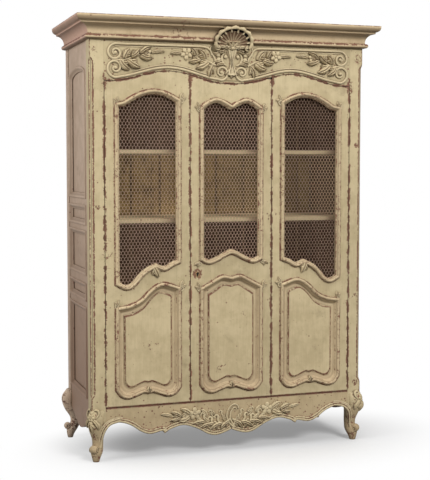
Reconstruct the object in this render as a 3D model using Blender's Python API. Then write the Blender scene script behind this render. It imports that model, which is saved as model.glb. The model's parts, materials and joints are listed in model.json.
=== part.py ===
"""Three-door wire display cabinet in painted wood, in metres, +Z up, front towards -Y."""

import math

import bmesh
import bpy
from mathutils import Matrix, Vector

# Carcass
BODY_HEIGHT = 2.182
BODY_DEPTH = 0.620
POST_WIDTH = 0.075
POST_DEPTH = 0.075
REAR_POST_WIDTH = 0.050
REAR_POST_DEPTH = 0.060
POST_CHAMFER = 0.017
CHAMFER_STOP_BELOW_TOP = 0.115
CHAMFER_STOP_ABOVE_DOOR_FOOT = 0.045
SHAFT_BOTTOM = 0.205

# Doors
DOOR_WIDTH = 0.456
DOOR_GAP = 0.003
DOOR_THICKNESS = 0.028
DOOR_BOTTOM = 0.285
STILE_WIDTH = 0.075
REBATE_WIDTH = 0.008
REBATE_DEPTH = 0.012
BEAD_RADIUS = 0.011
BEAD_OUT = 0.013
BEAD_SINK = 0.001

# Serpentine edge between the frieze and the door heads
FRIEZE_DROP = 0.208
SERPENTINE_RISE = 0.058
SERPENTINE_SHARPNESS = 1.25
FRIEZE_BEAD_RADIUS = 0.006
FRIEZE_BEAD_UP = 0.016
FRIEZE_BEAD_END = 0.045

# Cornice
CORNICE_HEIGHT = 0.118
CORNICE_REACH = 0.076
CORNICE_LAND = 0.045
BEAD_REACH = 0.024
BEAD_HEIGHT = 0.026
COVE_FOOT_REACH = 0.010
COVE_HEAD_REACH = 0.052
COVE_FOOT = 0.032
COVE_HEAD = 0.076
OVOLO_FOOT = 0.084
OVOLO_SHARE = 0.6

# Boards
TOP_THICKNESS = 0.018
BOTTOM_THICKNESS = 0.022
BOTTOM_BOARD_RISE = 0.007
BOARD_SET_BACK = 0.003
SHELF_THICKNESS = 0.020
SHELF_SET_BACK = 0.020
SHELF_SHARES = {"lower_shelf": 0.258, "middle_shelf": 0.500, "upper_shelf": 0.694}
BACK_THICKNESS = 0.014
BACK_SET_IN = 0.002
BACK_BOARDS = 13
GROOVE_WIDTH = 0.006
GROOVE_DEPTH = 0.004

# Sides
SIDE_THICKNESS = 0.024
SIDE_INSET = 0.004
SIDE_PANEL_THICKNESS = 0.008
SIDE_PANEL_LAP = 0.012
SIDE_FRONT_STILE = 0.052
SIDE_REAR_STILE = 0.026
SIDE_ARCH_RISE = 0.045
SIDE_FIELD_SHARES = ((0.149, 0.360), (0.385, 0.418), (0.447, 0.545), (0.568, 0.606), (0.632, 0.922))
SIDE_APRON_TOP = 0.180
SIDE_APRON_DROP = 0.058
HOUSING_DEPTH = 0.004

# Apron, from the middle outwards: share of the half opening, share of its top's height
APRON_EDGE = (
    (0.000, 0.433), (0.043, 0.390), (0.116, 0.344), (0.188, 0.372), (0.283, 0.500), (0.391, 0.582),
    (0.493, 0.525), (0.539, 0.461), (0.562, 0.504), (0.652, 0.465), (0.725, 0.521), (0.804, 0.652),
    (0.899, 0.723), (1.000, 0.695),
)

# Windows and panels: share of the half width, share of the fall below or above the level
SIDE_HEAD_DROP = 0.064
SIDE_HEAD_FALL = 0.070
SIDE_HEAD = ((-1.0, -1.0), (-0.79, -0.90), (-0.55, -0.57), (-0.20, -0.19), (0.20, 0.0), (0.60, -0.14),
             (1.0, -0.57))
SIDE_SILL_SHARE = 0.440
SIDE_SILL_FALL = 0.106
SIDE_SILL = ((-1.0, -0.84), (-0.78, -1.0), (-0.58, -0.89), (-0.22, -0.34), (0.20, 0.0), (0.36, -0.02),
             (0.56, -0.13), (0.78, 0.04), (1.0, 0.18))
CENTRE_HEAD_DROP = 0.102
CENTRE_HEAD_FALL = 0.034
CENTRE_HEAD = ((-1.0, -1.0), (-0.75, -0.26), (-0.52, 0.0), (-0.25, -0.47), (0.0, -1.0), (0.25, -0.47),
               (0.52, 0.0), (0.75, -0.26), (1.0, -1.0))
CENTRE_SILL_SHARE = 0.479
CENTRE_SILL_FALL = 0.051
CENTRE_SILL = ((-1.0, -0.78), (-0.80, -1.0), (-0.50, -0.65), (0.0, 0.0), (0.50, -0.65), (0.80, -1.0),
               (1.0, -0.78))
SIDE_PANEL_SHARE = 0.367
SIDE_PANEL_FALL = 0.118
SIDE_PANEL_HEAD = ((-1.0, -1.0), (-0.60, -0.91), (-0.20, -0.67), (0.10, -0.305), (0.36, -0.06), (0.60, 0.0),
                   (1.0, -0.17))
CENTRE_PANEL_SHARE = 0.384
CENTRE_PANEL_FALL = 0.053
CENTRE_PANEL_HEAD = ((-1.0, -1.0), (-0.65, -0.47), (-0.32, 0.0), (0.0, -0.15), (0.32, 0.0), (0.65, -0.47),
                     (1.0, -1.0))
PANEL_FOOT_RISE = 0.091
PANEL_FOOT_FALL = 0.026
PANEL_FOOT = ((-1.0, 0.15), (-0.88, -0.73), (-0.70, -1.0), (-0.45, -0.54), (-0.18, 0.0), (0.0, -0.15),
              (0.18, 0.0), (0.45, -0.54), (0.70, -1.0), (0.88, -0.73), (1.0, 0.15))

# Raised field of a lower panel
FIELD_MARGIN = 0.030
FIELD_SET_BACK = 0.004
PANEL_THICKNESS = 0.008
FIELD_SIDE_DROP = 0.031
FIELD_FOOT_RISE = 0.038

# Wire net
NET_CELL = 0.072
NET_BAR = 0.006
NET_THICKNESS = 0.002

# Legs: share of the height, of the reach outwards and of the thickest radius
LEG_HEIGHT = 0.262
LEG_REACH = 0.017
LEG_RADIUS = 0.043
LEG_STATIONS = (
    (1.000, 0.47, 0.93), (0.821, 1.00, 1.00), (0.630, 0.71, 0.81), (0.458, -0.12, 0.58),
    (0.324, -0.06, 0.58), (0.191, 0.53, 0.65), (0.084, 0.71, 0.49), (0.000, 0.71, 0.37),
)
REAR_LEG_SLIM = 0.68
REAR_LEG_SPLAY = 1.9
TOE_RADIUS = 0.018
TOE_WIDTH = 0.044
TOE_HEIGHT = 0.066
TOE_OUT = 0.030

# Shell
SHELL_WIDTH = 0.222
SHELL_HEIGHT = 0.124
SHELL_BELOW_TOP = 0.029
SHELL_THICKNESS = 0.044
SHELL_LEAN = 22.0
SHELL_OUT = 0.012
SHELL_LOBES = 9
LOBE_DEPTH = 0.008

# Pivots
PIVOT_FROM_EDGE = 0.008
PIVOT_FROM_FACE = 0.007
PLATE_LENGTH = 0.036
PLATE_WIDTH = 0.008
PLATE_THICKNESS = 0.003
PLATE_BEHIND_PIN = 0.006
PIN_RADIUS = 0.0025
PIN_REACH = 0.008
COLLAR_RADIUS = 0.0038

# Lock and bolts
LOCK_HEIGHT = 0.968
LOCK_LENGTH = 0.056
LOCK_TALL = 0.060
LOCK_THICKNESS = 0.013
LATCH_TALL = 0.020
LATCH_THICKNESS = 0.007
LATCH_LENGTH = 0.040
LATCH_THROW = 0.010
KEYHOLE_FROM_EDGE = 0.038
KEYHOLE_RADIUS = 0.0045
KEYHOLE_SLOT = 0.012
KEY_WAY_SHARE = 0.7
BOLT_RADIUS = 0.005
BOLT_LENGTH = 0.110
BOLT_TRAVEL = 0.030
BOLT_FROM_EDGE = 0.030
BOLT_BELOW_EDGE = 0.004
BOLT_KNOB_RADIUS = 0.007
BOLT_KNOB_REACH = 0.016
HOUSING_TALL = 0.045
HOUSING_WIDTH = 0.022
HOUSING_OUT = 0.016

# Facets along curved edges
SERPENTINE_STEPS = 36
DOOR_HEAD_STEPS = 16
DOOR_SHAPE_STEPS = 2
APRON_STEPS = 3
SIDE_APRON_STEPS = 16
ARCH_STEPS = 12
BEAD_STEPS = 6
COVE_STEPS = 6
OVOLO_STEPS = 4
LOBE_STEPS = 4
ROD_SIDES = 10
TOE_SIDES = 12
SMOOTH_UP_TO = math.radians(40)

# Clearance between pieces that touch, and how far cutters run past what they open
FIT = 0.0003
PAST = 0.010

# Derived places
OPENING_WIDTH = 3 * DOOR_WIDTH + 4 * DOOR_GAP
BODY_WIDTH = OPENING_WIDTH + 2 * POST_WIDTH
HALF_BODY = BODY_WIDTH / 2
HALF_OPENING = OPENING_WIDTH / 2
FRONT = -(BODY_DEPTH + CORNICE_REACH) / 2 + CORNICE_REACH
BACK = FRONT + BODY_DEPTH
APRON_TOP = DOOR_BOTTOM - DOOR_GAP
SIGHT_HALF = DOOR_WIDTH / 2 - STILE_WIDTH
SIDE_OUTER = HALF_BODY - SIDE_INSET
SIDE_INNER = SIDE_OUTER - SIDE_THICKNESS
BACK_FACE = BACK - BACK_SET_IN - BACK_THICKNESS
DOOR_BACK = FRONT + DOOR_THICKNESS
REBATE_FLOOR = DOOR_BACK - REBATE_DEPTH
DOOR_PITCH = DOOR_WIDTH + DOOR_GAP
BOARD_TOP = DOOR_BOTTOM + BOTTOM_BOARD_RISE
SERPENTINE_LOW = BODY_HEIGHT - FRIEZE_DROP
DOOR_HEIGHT = SERPENTINE_LOW - DOOR_GAP - DOOR_BOTTOM
SIDE_FIELDS = [(low * BODY_HEIGHT, high * BODY_HEIGHT) for low, high in SIDE_FIELD_SHARES]
SHELL_FOOT = BODY_HEIGHT - SHELL_BELOW_TOP
PIVOT_Y = FRONT + PIVOT_FROM_FACE
SWING_RADIUS = math.hypot(PIVOT_FROM_EDGE, DOOR_THICKNESS - PIVOT_FROM_FACE)

# Boolean solver for moulded pieces, whose many thin facets the usual one leaves open
MOULDED = "MANIFOLD"

for leftover in list(bpy.data.objects):
    bpy.data.objects.remove(leftover, do_unlink=True)

PARTS = bpy.data.collections.new("wire_display_cabinet")
CUTTERS = bpy.data.collections.new("cutters")
bpy.context.scene.collection.children.link(PARTS)
bpy.context.scene.collection.children.link(CUTTERS)


# Finishes
def finish(name, colour, roughness, metallic=0.0):
    """One plain material."""
    material = bpy.data.materials.new(name)
    material.use_nodes = True
    shader = material.node_tree.nodes["Principled BSDF"]
    shader.inputs["Base Color"].default_value = (*colour, 1.0)
    shader.inputs["Roughness"].default_value = roughness
    shader.inputs["Metallic"].default_value = metallic
    return material


PAINT = finish("cream_paint", (0.56, 0.49, 0.33), 0.55)
SHADED_PAINT = finish("shaded_paint", (0.42, 0.34, 0.25), 0.6)
BARE_WOOD = finish("bare_wood", (0.30, 0.20, 0.12), 0.7)
WIRE = finish("wire", (0.22, 0.18, 0.14), 0.5, 0.6)
BRASS = finish("brass", (0.55, 0.42, 0.20), 0.35, 1.0)
IRON = finish("iron", (0.16, 0.14, 0.13), 0.5, 0.9)


# Solids
def add_object(name, mesh, material, collection=PARTS):
    """Put a mesh in the scene with its material."""
    obj = bpy.data.objects.new(name, mesh)
    mesh.materials.clear()
    if material:
        mesh.materials.append(material)
    collection.objects.link(obj)
    if collection is CUTTERS:
        obj.hide_render = True
        obj.display_type = "WIRE"
    return obj


def mesh_from(bm, name):
    """Close a bmesh into a named mesh with its faces turned outwards."""
    bmesh.ops.recalc_face_normals(bm, faces=bm.faces)
    mesh = bpy.data.meshes.new(name)
    bm.to_mesh(mesh)
    bm.free()
    return mesh


def rounded(mesh):
    """Shade a round piece smooth, with its real edges kept sharp."""
    mesh.shade_smooth()
    mesh.set_sharp_from_angle(angle=SMOOTH_UP_TO)
    return mesh


def box(name, low, high, material=None, collection=PARTS):
    """A block between two corners."""
    bm = bmesh.new()
    size = Vector(high) - Vector(low)
    middle = (Vector(high) + Vector(low)) / 2
    bmesh.ops.create_cube(bm, size=1.0, matrix=Matrix.Translation(middle) @ Matrix.Diagonal((*size, 1.0)))
    return add_object(name, mesh_from(bm, name), material, collection)


def block(name, xs, ys, zs, material=None, collection=CUTTERS):
    """A block from its extents along each axis, in either order."""
    low = (min(xs), min(ys), min(zs))
    high = (max(xs), max(ys), max(zs))
    return box(name, low, high, material, collection)


def rod(name, start, end, radius, material=None, collection=PARTS, sides=ROD_SIDES):
    """A round bar between two points."""
    start = Vector(start)
    end = Vector(end)
    turn = (end - start).to_track_quat("Z", "Y").to_matrix().to_4x4()
    bm = bmesh.new()
    bmesh.ops.create_cone(bm, cap_ends=True, segments=sides, radius1=radius, radius2=radius,
                          depth=(end - start).length, matrix=Matrix.Translation((start + end) / 2) @ turn)
    return add_object(name, rounded(mesh_from(bm, name)), material, collection)


FACING_FRONT = Matrix(((1, 0, 0, 0), (0, 0, -1, 0), (0, 1, 0, 0), (0, 0, 0, 1)))
FACING_SIDE = Matrix(((0, 0, 1, 0), (1, 0, 0, 0), (0, 1, 0, 0), (0, 0, 0, 1)))
FACING_UP = Matrix.Identity(4)


def curve_to_mesh(curve, matrix, name):
    """The closed mesh of a curve, in world places."""
    guide = bpy.data.objects.new(name, curve)
    guide.matrix_world = matrix
    CUTTERS.objects.link(guide)
    graph = bpy.context.evaluated_depsgraph_get()
    mesh = bpy.data.meshes.new_from_object(guide.evaluated_get(graph))
    mesh.transform(matrix)
    bm = bmesh.new()
    bm.from_mesh(mesh)
    bmesh.ops.remove_doubles(bm, verts=bm.verts, dist=0.00001)
    bpy.data.meshes.remove(mesh)
    bpy.data.objects.remove(guide)
    bpy.data.curves.remove(curve)
    return mesh_from(bm, name)


def plate(name, outlines, facing, near, far, material=None, collection=PARTS):
    """A flat outline, with any holes, thickened from near to far along its facing."""
    curve = bpy.data.curves.new(name, "CURVE")
    curve.dimensions = "2D"
    curve.fill_mode = "BOTH"
    curve.extrude = abs(far - near) / 2
    for outline in outlines:
        spline = curve.splines.new("POLY")
        spline.points.add(len(outline) - 1)
        for point, (across, up) in zip(spline.points, outline):
            point.co = (across, up, 0.0, 1.0)
        spline.use_cyclic_u = True
    middle = (near + far) / 2
    shift = {0: (middle, 0, 0), 1: (0, middle, 0), 2: (0, 0, middle)}
    axis = 1 if facing is FACING_FRONT else 0 if facing is FACING_SIDE else 2
    mesh = curve_to_mesh(curve, Matrix.Translation(shift[axis]) @ facing, name)
    return add_object(name, mesh, material, collection)


def tube(name, points, radii, closed, sides_step, material=None, collection=PARTS):
    """A round bar along a line of points, with its own radius at each."""
    curve = bpy.data.curves.new(name, "CURVE")
    curve.dimensions = "3D"
    curve.bevel_depth = 1.0
    curve.bevel_resolution = sides_step
    curve.use_fill_caps = not closed
    spline = curve.splines.new("POLY")
    spline.points.add(len(points) - 1)
    for point, place, radius in zip(spline.points, points, radii):
        point.co = (*place, 1.0)
        point.radius = radius
    spline.use_cyclic_u = closed
    mesh = rounded(curve_to_mesh(curve, Matrix.Identity(4), name))
    return add_object(name, mesh, material, collection)


def boolean(target, operation, tools, solver="EXACT"):
    """Join, cut or trim a piece with each tool in turn."""
    for tool in tools:
        modifier = target.modifiers.new(f"{operation.lower()}_{tool.name}", "BOOLEAN")
        modifier.operation = operation
        modifier.solver = solver
        modifier.object = tool
        if tool.name not in CUTTERS.objects:
            PARTS.objects.unlink(tool)
            CUTTERS.objects.link(tool)
        tool.hide_render = True
        tool.display_type = "WIRE"
    return target


def hang(pieces, origin):
    """Give pieces that move together one origin, on the axis they move about or along."""
    for piece in pieces:
        piece.data.transform(Matrix.Translation(-Vector(origin)))
        piece.location = origin


def settled(obj):
    """Turn a piece's modifiers into plain mesh."""
    graph = bpy.context.evaluated_depsgraph_get()
    mesh = bpy.data.meshes.new_from_object(obj.evaluated_get(graph))
    obj.modifiers.clear()
    obj.data = mesh
    return obj


# Outlines
def flowing(points, steps):
    """A smooth line through the points."""
    places = [Vector(point) for point in points]
    line = [places[0]]
    for index in range(len(places) - 1):
        before = places[max(index - 1, 0)]
        start = places[index]
        end = places[index + 1]
        after = places[min(index + 2, len(places) - 1)]
        for step in range(1, steps + 1):
            t = step / steps
            line.append(0.5 * (2 * start + (end - before) * t
                               + (2 * before - 5 * start + 4 * end - after) * t ** 2
                               + (3 * start - before - 3 * end + after) * t ** 3))
    return [(point.x, point.y) for point in line]


def grown(outline, distance):
    """A closed outline moved outwards by a distance, or inwards if it is negative."""
    count = len(outline)
    area = sum(outline[i][0] * outline[(i + 1) % count][1] - outline[(i + 1) % count][0] * outline[i][1]
               for i in range(count))
    turn = 1 if area > 0 else -1
    moved = []
    for index, here in enumerate(outline):
        before = (Vector(here) - Vector(outline[index - 1])).normalized()
        after = (Vector(outline[(index + 1) % count]) - Vector(here)).normalized()
        normals = [Vector((edge.y, -edge.x)) * turn for edge in (before, after)]
        mean = (normals[0] + normals[1]).normalized()
        reach = distance / max(mean.dot(normals[0]), 0.5)
        moved.append((here[0] + mean.x * reach, here[1] + mean.y * reach))
    return moved


def serpentine(x):
    """Height of the frieze's lower edge at a distance from the middle."""
    wave = 0.5 - 0.5 * math.cos(4 * math.pi * x / OPENING_WIDTH)
    return SERPENTINE_LOW + SERPENTINE_RISE * wave ** SERPENTINE_SHARPNESS


def shaped(points, level, fall, middle, half, hand):
    """A line given in shares of a half width and of a fall, turned to the door's hand."""
    line = flowing([(across * half, level + up * fall) for across, up in points], DOOR_SHAPE_STEPS)
    line = [(middle + hand * across, up) for across, up in line]
    return line if hand > 0 else line[::-1]


# Posts and feet
def leg_solid(name, centre, outward, slim, splay):
    """A cabriole leg with a scrolled toe, below a post."""
    points = []
    radii = []
    for height, out, thickness in LEG_STATIONS:
        place = centre + outward * LEG_REACH * out * splay
        points.append((place.x, place.y, LEG_HEIGHT * height))
        radii.append(LEG_RADIUS * thickness * slim)
    leg = tube(name, points, radii, False, 3)
    across = Vector((-outward.y, outward.x, 0)) * TOE_WIDTH * slim / 2
    toe_middle = centre + outward * TOE_OUT * math.sqrt(splay)
    toe_middle.z = TOE_HEIGHT
    toe = rod(f"{name}_toe", toe_middle - across, toe_middle + across, TOE_RADIUS * slim, sides=TOE_SIDES)
    return settled(boolean(leg, "UNION", [toe]))


def post(name, side, width, near, far, outward, slim, splay, chamfered):
    """A corner post that runs down into its foot."""
    outer = side * HALF_BODY
    inner = side * (HALF_BODY - width)
    shaft = box(name, (min(inner, outer), near, SHAFT_BOTTOM), (max(inner, outer), far, BODY_HEIGHT), PAINT)
    centre = Vector(((inner + outer) / 2, (near + far) / 2, 0))
    boolean(shaft, "UNION", [leg_solid(f"{name}_leg", centre, outward, slim, splay)])
    if chamfered:
        edge = POST_CHAMFER * math.sqrt(2)
        low = DOOR_BOTTOM + CHAMFER_STOP_ABOVE_DOOR_FOOT
        high = BODY_HEIGHT - CHAMFER_STOP_BELOW_TOP
        cutter = box(f"{name}_chamfer", (-edge / 2, -edge / 2, low), (edge / 2, edge / 2, high),
                     collection=CUTTERS)
        cutter.data.transform(Matrix.Translation((outer, near, 0)) @ Matrix.Rotation(math.pi / 4, 4, "Z"))
        boolean(shaft, "DIFFERENCE", [cutter])
    return shaft


def build_posts():
    """Four posts: the front ones kick out on the diagonal, the rear ones sideways."""
    for label, side in (("left", -1), ("right", 1)):
        diagonal = Vector((side, -1, 0)).normalized()
        post(f"front_{label}_post", side, POST_WIDTH, FRONT, FRONT + POST_DEPTH, diagonal, 1.0, 1.0, True)
        post(f"rear_{label}_post", side, REAR_POST_WIDTH, BACK - REAR_POST_DEPTH, BACK, Vector((side, 0, 0)),
             REAR_LEG_SLIM, REAR_LEG_SPLAY, False)


# Front rails
def frieze_line(half):
    """Points along the serpentine edge from left to right."""
    step = 2 * half / SERPENTINE_STEPS
    return [(x, serpentine(x)) for x in (-half + step * i for i in range(SERPENTINE_STEPS + 1))]


def build_frieze():
    """The rail over the doors and the bead along its lower edge."""
    half = HALF_OPENING - FIT
    outline = frieze_line(half) + [(half, BODY_HEIGHT), (-half, BODY_HEIGHT)]
    rail = plate("frieze_rail", [outline], FACING_FRONT, FRONT, DOOR_BACK, PAINT)
    line = frieze_line(half - FRIEZE_BEAD_END)
    points = [(x, FRONT + BEAD_SINK, z + FRIEZE_BEAD_UP) for x, z in line]
    bead = tube("frieze_bead", points, [FRIEZE_BEAD_RADIUS] * len(points), False, 0)
    return settled(boolean(rail, "UNION", [bead], MOULDED))


def build_apron():
    """The rail under the doors, scalloped below."""
    half = HALF_OPENING - FIT
    edge = flowing([(across * half, up * APRON_TOP) for across, up in APRON_EDGE], APRON_STEPS)
    lower = [(-x, z) for x, z in edge[:0:-1]] + edge
    outline = lower + [(half, APRON_TOP), (-half, APRON_TOP)]
    return plate("front_apron", [outline], FACING_FRONT, FRONT, DOOR_BACK, PAINT)


# Sides
def side_fields(near, far):
    """Openings of a side frame; the topmost is arched."""
    fields = []
    for index, (low, high) in enumerate(SIDE_FIELDS):
        field = [(near, low), (far, low), (far, high), (near, high)]
        if index == len(SIDE_FIELDS) - 1:
            middle = (near + far) / 2
            half = (far - near) / 2
            arch = [(middle + half * math.cos(a), high + SIDE_ARCH_RISE * math.sin(a))
                    for a in (math.pi * step / ARCH_STEPS for step in range(ARCH_STEPS + 1))]
            field = [(near, low), (far, low)] + arch
        fields.append(field)
    return fields


def build_side(label, side, boards):
    """A framed side, its panel, and the housings for the boards that end in it."""
    near = FRONT + POST_DEPTH + FIT
    far = BACK - REAR_POST_DEPTH - FIT
    span = far - near
    lower = [(near + span * share, SIDE_APRON_TOP - SIDE_APRON_DROP * math.sin(math.pi * share) ** 2)
             for share in (i / SIDE_APRON_STEPS for i in range(SIDE_APRON_STEPS + 1))]
    outline = lower + [(far, BODY_HEIGHT), (near, BODY_HEIGHT)]
    fields = side_fields(near + SIDE_FRONT_STILE, far - SIDE_REAR_STILE)
    outer = side * SIDE_OUTER
    inner = side * SIDE_INNER
    frame = plate(f"{label}_side_frame", [outline] + fields, FACING_SIDE, outer, inner, PAINT)
    low = SIDE_FIELDS[0][0] - SIDE_PANEL_LAP
    high = SIDE_FIELDS[-1][1] + SIDE_ARCH_RISE + SIDE_PANEL_LAP
    panel_near = near + SIDE_FRONT_STILE - SIDE_PANEL_LAP
    panel_far = far - SIDE_REAR_STILE + SIDE_PANEL_LAP
    floor = side * (SIDE_INNER + SIDE_PANEL_THICKNESS)
    recess = block(f"{label}_panel_recess", (floor + side * FIT, inner - side * PAST),
                   (panel_near - FIT, panel_far + FIT), (low - FIT, high + FIT))
    panel = block(f"{label}_side_panel", (floor, inner), (panel_near, panel_far), (low, high),
                  SHADED_PAINT, PARTS)
    boolean(frame, "DIFFERENCE", [recess])
    housed = side * (SIDE_INNER + HOUSING_DEPTH)
    for name, (bottom, top) in boards.items():
        cutter = block(f"{label}_{name}_housing", (housed, inner - side * PAST),
                       (near - PAST, far + PAST), (bottom - FIT, top + FIT))
        boolean(frame, "DIFFERENCE", [cutter])
        if low < bottom:
            boolean(panel, "DIFFERENCE", [cutter])


# Boards
def board_levels():
    """Bottom and top of every board that is housed in the sides."""
    levels = {}
    for name, share in SHELF_SHARES.items():
        level = BOARD_TOP + share * (BODY_HEIGHT - BOARD_TOP)
        levels[name] = (level, level + SHELF_THICKNESS)
    levels["bottom_board"] = (BOARD_TOP - BOTTOM_THICKNESS, BOARD_TOP)
    return levels


def board_outline(front, clear_of_front_posts):
    """Plan of a board, notched round the posts that it meets."""
    end = SIDE_INNER + HOUSING_DEPTH - FIT
    back = BACK_FACE - FIT
    rear_notch = HALF_BODY - REAR_POST_WIDTH - FIT
    rear = BACK - REAR_POST_DEPTH - FIT
    half = [(end, rear), (rear_notch, rear), (rear_notch, back)]
    if clear_of_front_posts:
        post_back = FRONT + POST_DEPTH + FIT
        front_notch = HALF_BODY - POST_WIDTH - FIT
        half = [(front_notch, front), (front_notch, post_back), (end, post_back)] + half
    else:
        half = [(end, front)] + half
    return half + [(-x, y) for x, y in half[::-1]]


def build_boards(levels):
    """Shelves, bottom, top and the grooved back."""
    for name, (low, high) in levels.items():
        bottom = name == "bottom_board"
        front = DOOR_BACK + BOARD_SET_BACK if bottom else FRONT + POST_DEPTH + SHELF_SET_BACK
        plate(name, [board_outline(front, bottom)], FACING_UP, low, high, PAINT)
    top_half = HALF_BODY - CORNICE_LAND - FIT
    box("top_board", (-top_half, FRONT + CORNICE_LAND + FIT, BODY_HEIGHT + FIT),
        (top_half, BACK, BODY_HEIGHT + FIT + TOP_THICKNESS), BARE_WOOD)
    half = HALF_BODY - REAR_POST_WIDTH - FIT
    pitch = 2 * half / BACK_BOARDS
    outline = [(half, BACK_FACE + BACK_THICKNESS), (-half, BACK_FACE + BACK_THICKNESS), (-half, BACK_FACE)]
    for index in range(1, BACK_BOARDS):
        x = -half + index * pitch
        outline += [(x - GROOVE_WIDTH / 2, BACK_FACE), (x, BACK_FACE + GROOVE_DEPTH),
                    (x + GROOVE_WIDTH / 2, BACK_FACE)]
    outline.append((half, BACK_FACE))
    plate("back_panel", [outline], FACING_UP, BOARD_TOP - BOTTOM_THICKNESS, BODY_HEIGHT, SHADED_PAINT)


# Cornice
def cornice_profile():
    """Section of the cornice: distance out from the body, height above it."""
    bead = [(BEAD_REACH - BEAD_HEIGHT / 2 * (1 - math.sin(a)), BEAD_HEIGHT / 2 * (1 - math.cos(a)))
            for a in (math.pi * step / BEAD_STEPS for step in range(BEAD_STEPS + 1))]
    width = COVE_HEAD_REACH - COVE_FOOT_REACH
    height = COVE_HEAD - COVE_FOOT
    cove = [(COVE_HEAD_REACH - width * math.cos(a), COVE_FOOT + height * math.sin(a))
            for a in (math.pi / 2 * step / COVE_STEPS for step in range(COVE_STEPS + 1))]
    crown = (CORNICE_REACH - COVE_HEAD_REACH) * OVOLO_SHARE
    rise = (CORNICE_HEIGHT - OVOLO_FOOT) * OVOLO_SHARE
    ovolo = [(CORNICE_REACH - crown * (1 - math.sin(a)), OVOLO_FOOT + rise * (1 - math.cos(a)))
             for a in (math.pi / 2 * step / OVOLO_STEPS for step in range(OVOLO_STEPS + 1))]
    return [(-CORNICE_LAND, 0.0)] + bead + cove + ovolo + [(CORNICE_REACH, CORNICE_HEIGHT),
                                                          (-CORNICE_LAND, CORNICE_HEIGHT)]


def cornice_run(name, profile, section_at, material=PAINT, collection=PARTS):
    """A straight length of cornice between two end sections, given as functions of the profile."""
    bm = bmesh.new()
    start, end = section_at
    face = bm.faces.new([bm.verts.new(start(out, up)) for out, up in profile])
    swept = bmesh.ops.extrude_face_region(bm, geom=[face])
    far = [item for item in swept["geom"] if isinstance(item, bmesh.types.BMVert)]
    for vert, (out, up) in zip(far, profile):
        vert.co = end(out, up)
    return add_object(name, mesh_from(bm, name), material, collection)


def build_cornice():
    """Front cornice with mitred ends and the two returns."""
    base = BODY_HEIGHT + FIT
    profile = cornice_profile()

    def front_section(side):
        return lambda out, up: (side * (HALF_BODY + out), FRONT - out, base + up)

    cornice_run("cornice_front", profile, (front_section(-1), front_section(1)))
    for label, side in (("left", -1), ("right", 1)):
        cornice_run(f"cornice_{label}", profile,
                    (lambda out, up: (side * (HALF_BODY + out), FRONT - out + 2 * FIT, base + up),
                     lambda out, up: (side * (HALF_BODY + out), BACK, base + up)))
    clear = grown(profile, FIT)
    return cornice_run("cornice_clearance", clear, (front_section(-1), front_section(1)), None, CUTTERS)


def build_shell(cornice_clearance):
    """The carved shell that leans out against the cornice."""
    rim = []
    steps = SHELL_LOBES * LOBE_STEPS
    for step in range(steps + 1):
        turn = math.pi * step / steps
        lobe = LOBE_DEPTH * abs(math.sin(SHELL_LOBES * turn))
        rim.append(((SHELL_WIDTH / 2 - LOBE_DEPTH + lobe) * math.cos(turn),
                    (SHELL_HEIGHT - LOBE_DEPTH + lobe) * math.sin(turn)))
    shell = plate("shell_crest", [rim], FACING_FRONT, 0.0, -SHELL_THICKNESS, PAINT)
    lean = Matrix.Rotation(math.radians(SHELL_LEAN), 4, "X")
    shell.data.transform(Matrix.Translation((0, FRONT - SHELL_OUT + SHELL_THICKNESS / 2, SHELL_FOOT)) @ lean)
    frieze_clearance = block("frieze_clearance", (-SHELL_WIDTH, SHELL_WIDTH), (FRONT - FIT, BACK),
                             (SHELL_FOOT - SHELL_HEIGHT, BODY_HEIGHT + CORNICE_HEIGHT))
    reach_limit = block("reach_limit", (-SHELL_WIDTH, SHELL_WIDTH),
                        (FRONT - CORNICE_REACH + FIT, FRONT - CORNICE_REACH - SHELL_HEIGHT),
                        (SHELL_FOOT - SHELL_HEIGHT, BODY_HEIGHT + 2 * CORNICE_HEIGHT))
    return boolean(shell, "DIFFERENCE", [cornice_clearance, frieze_clearance, reach_limit])


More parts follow.
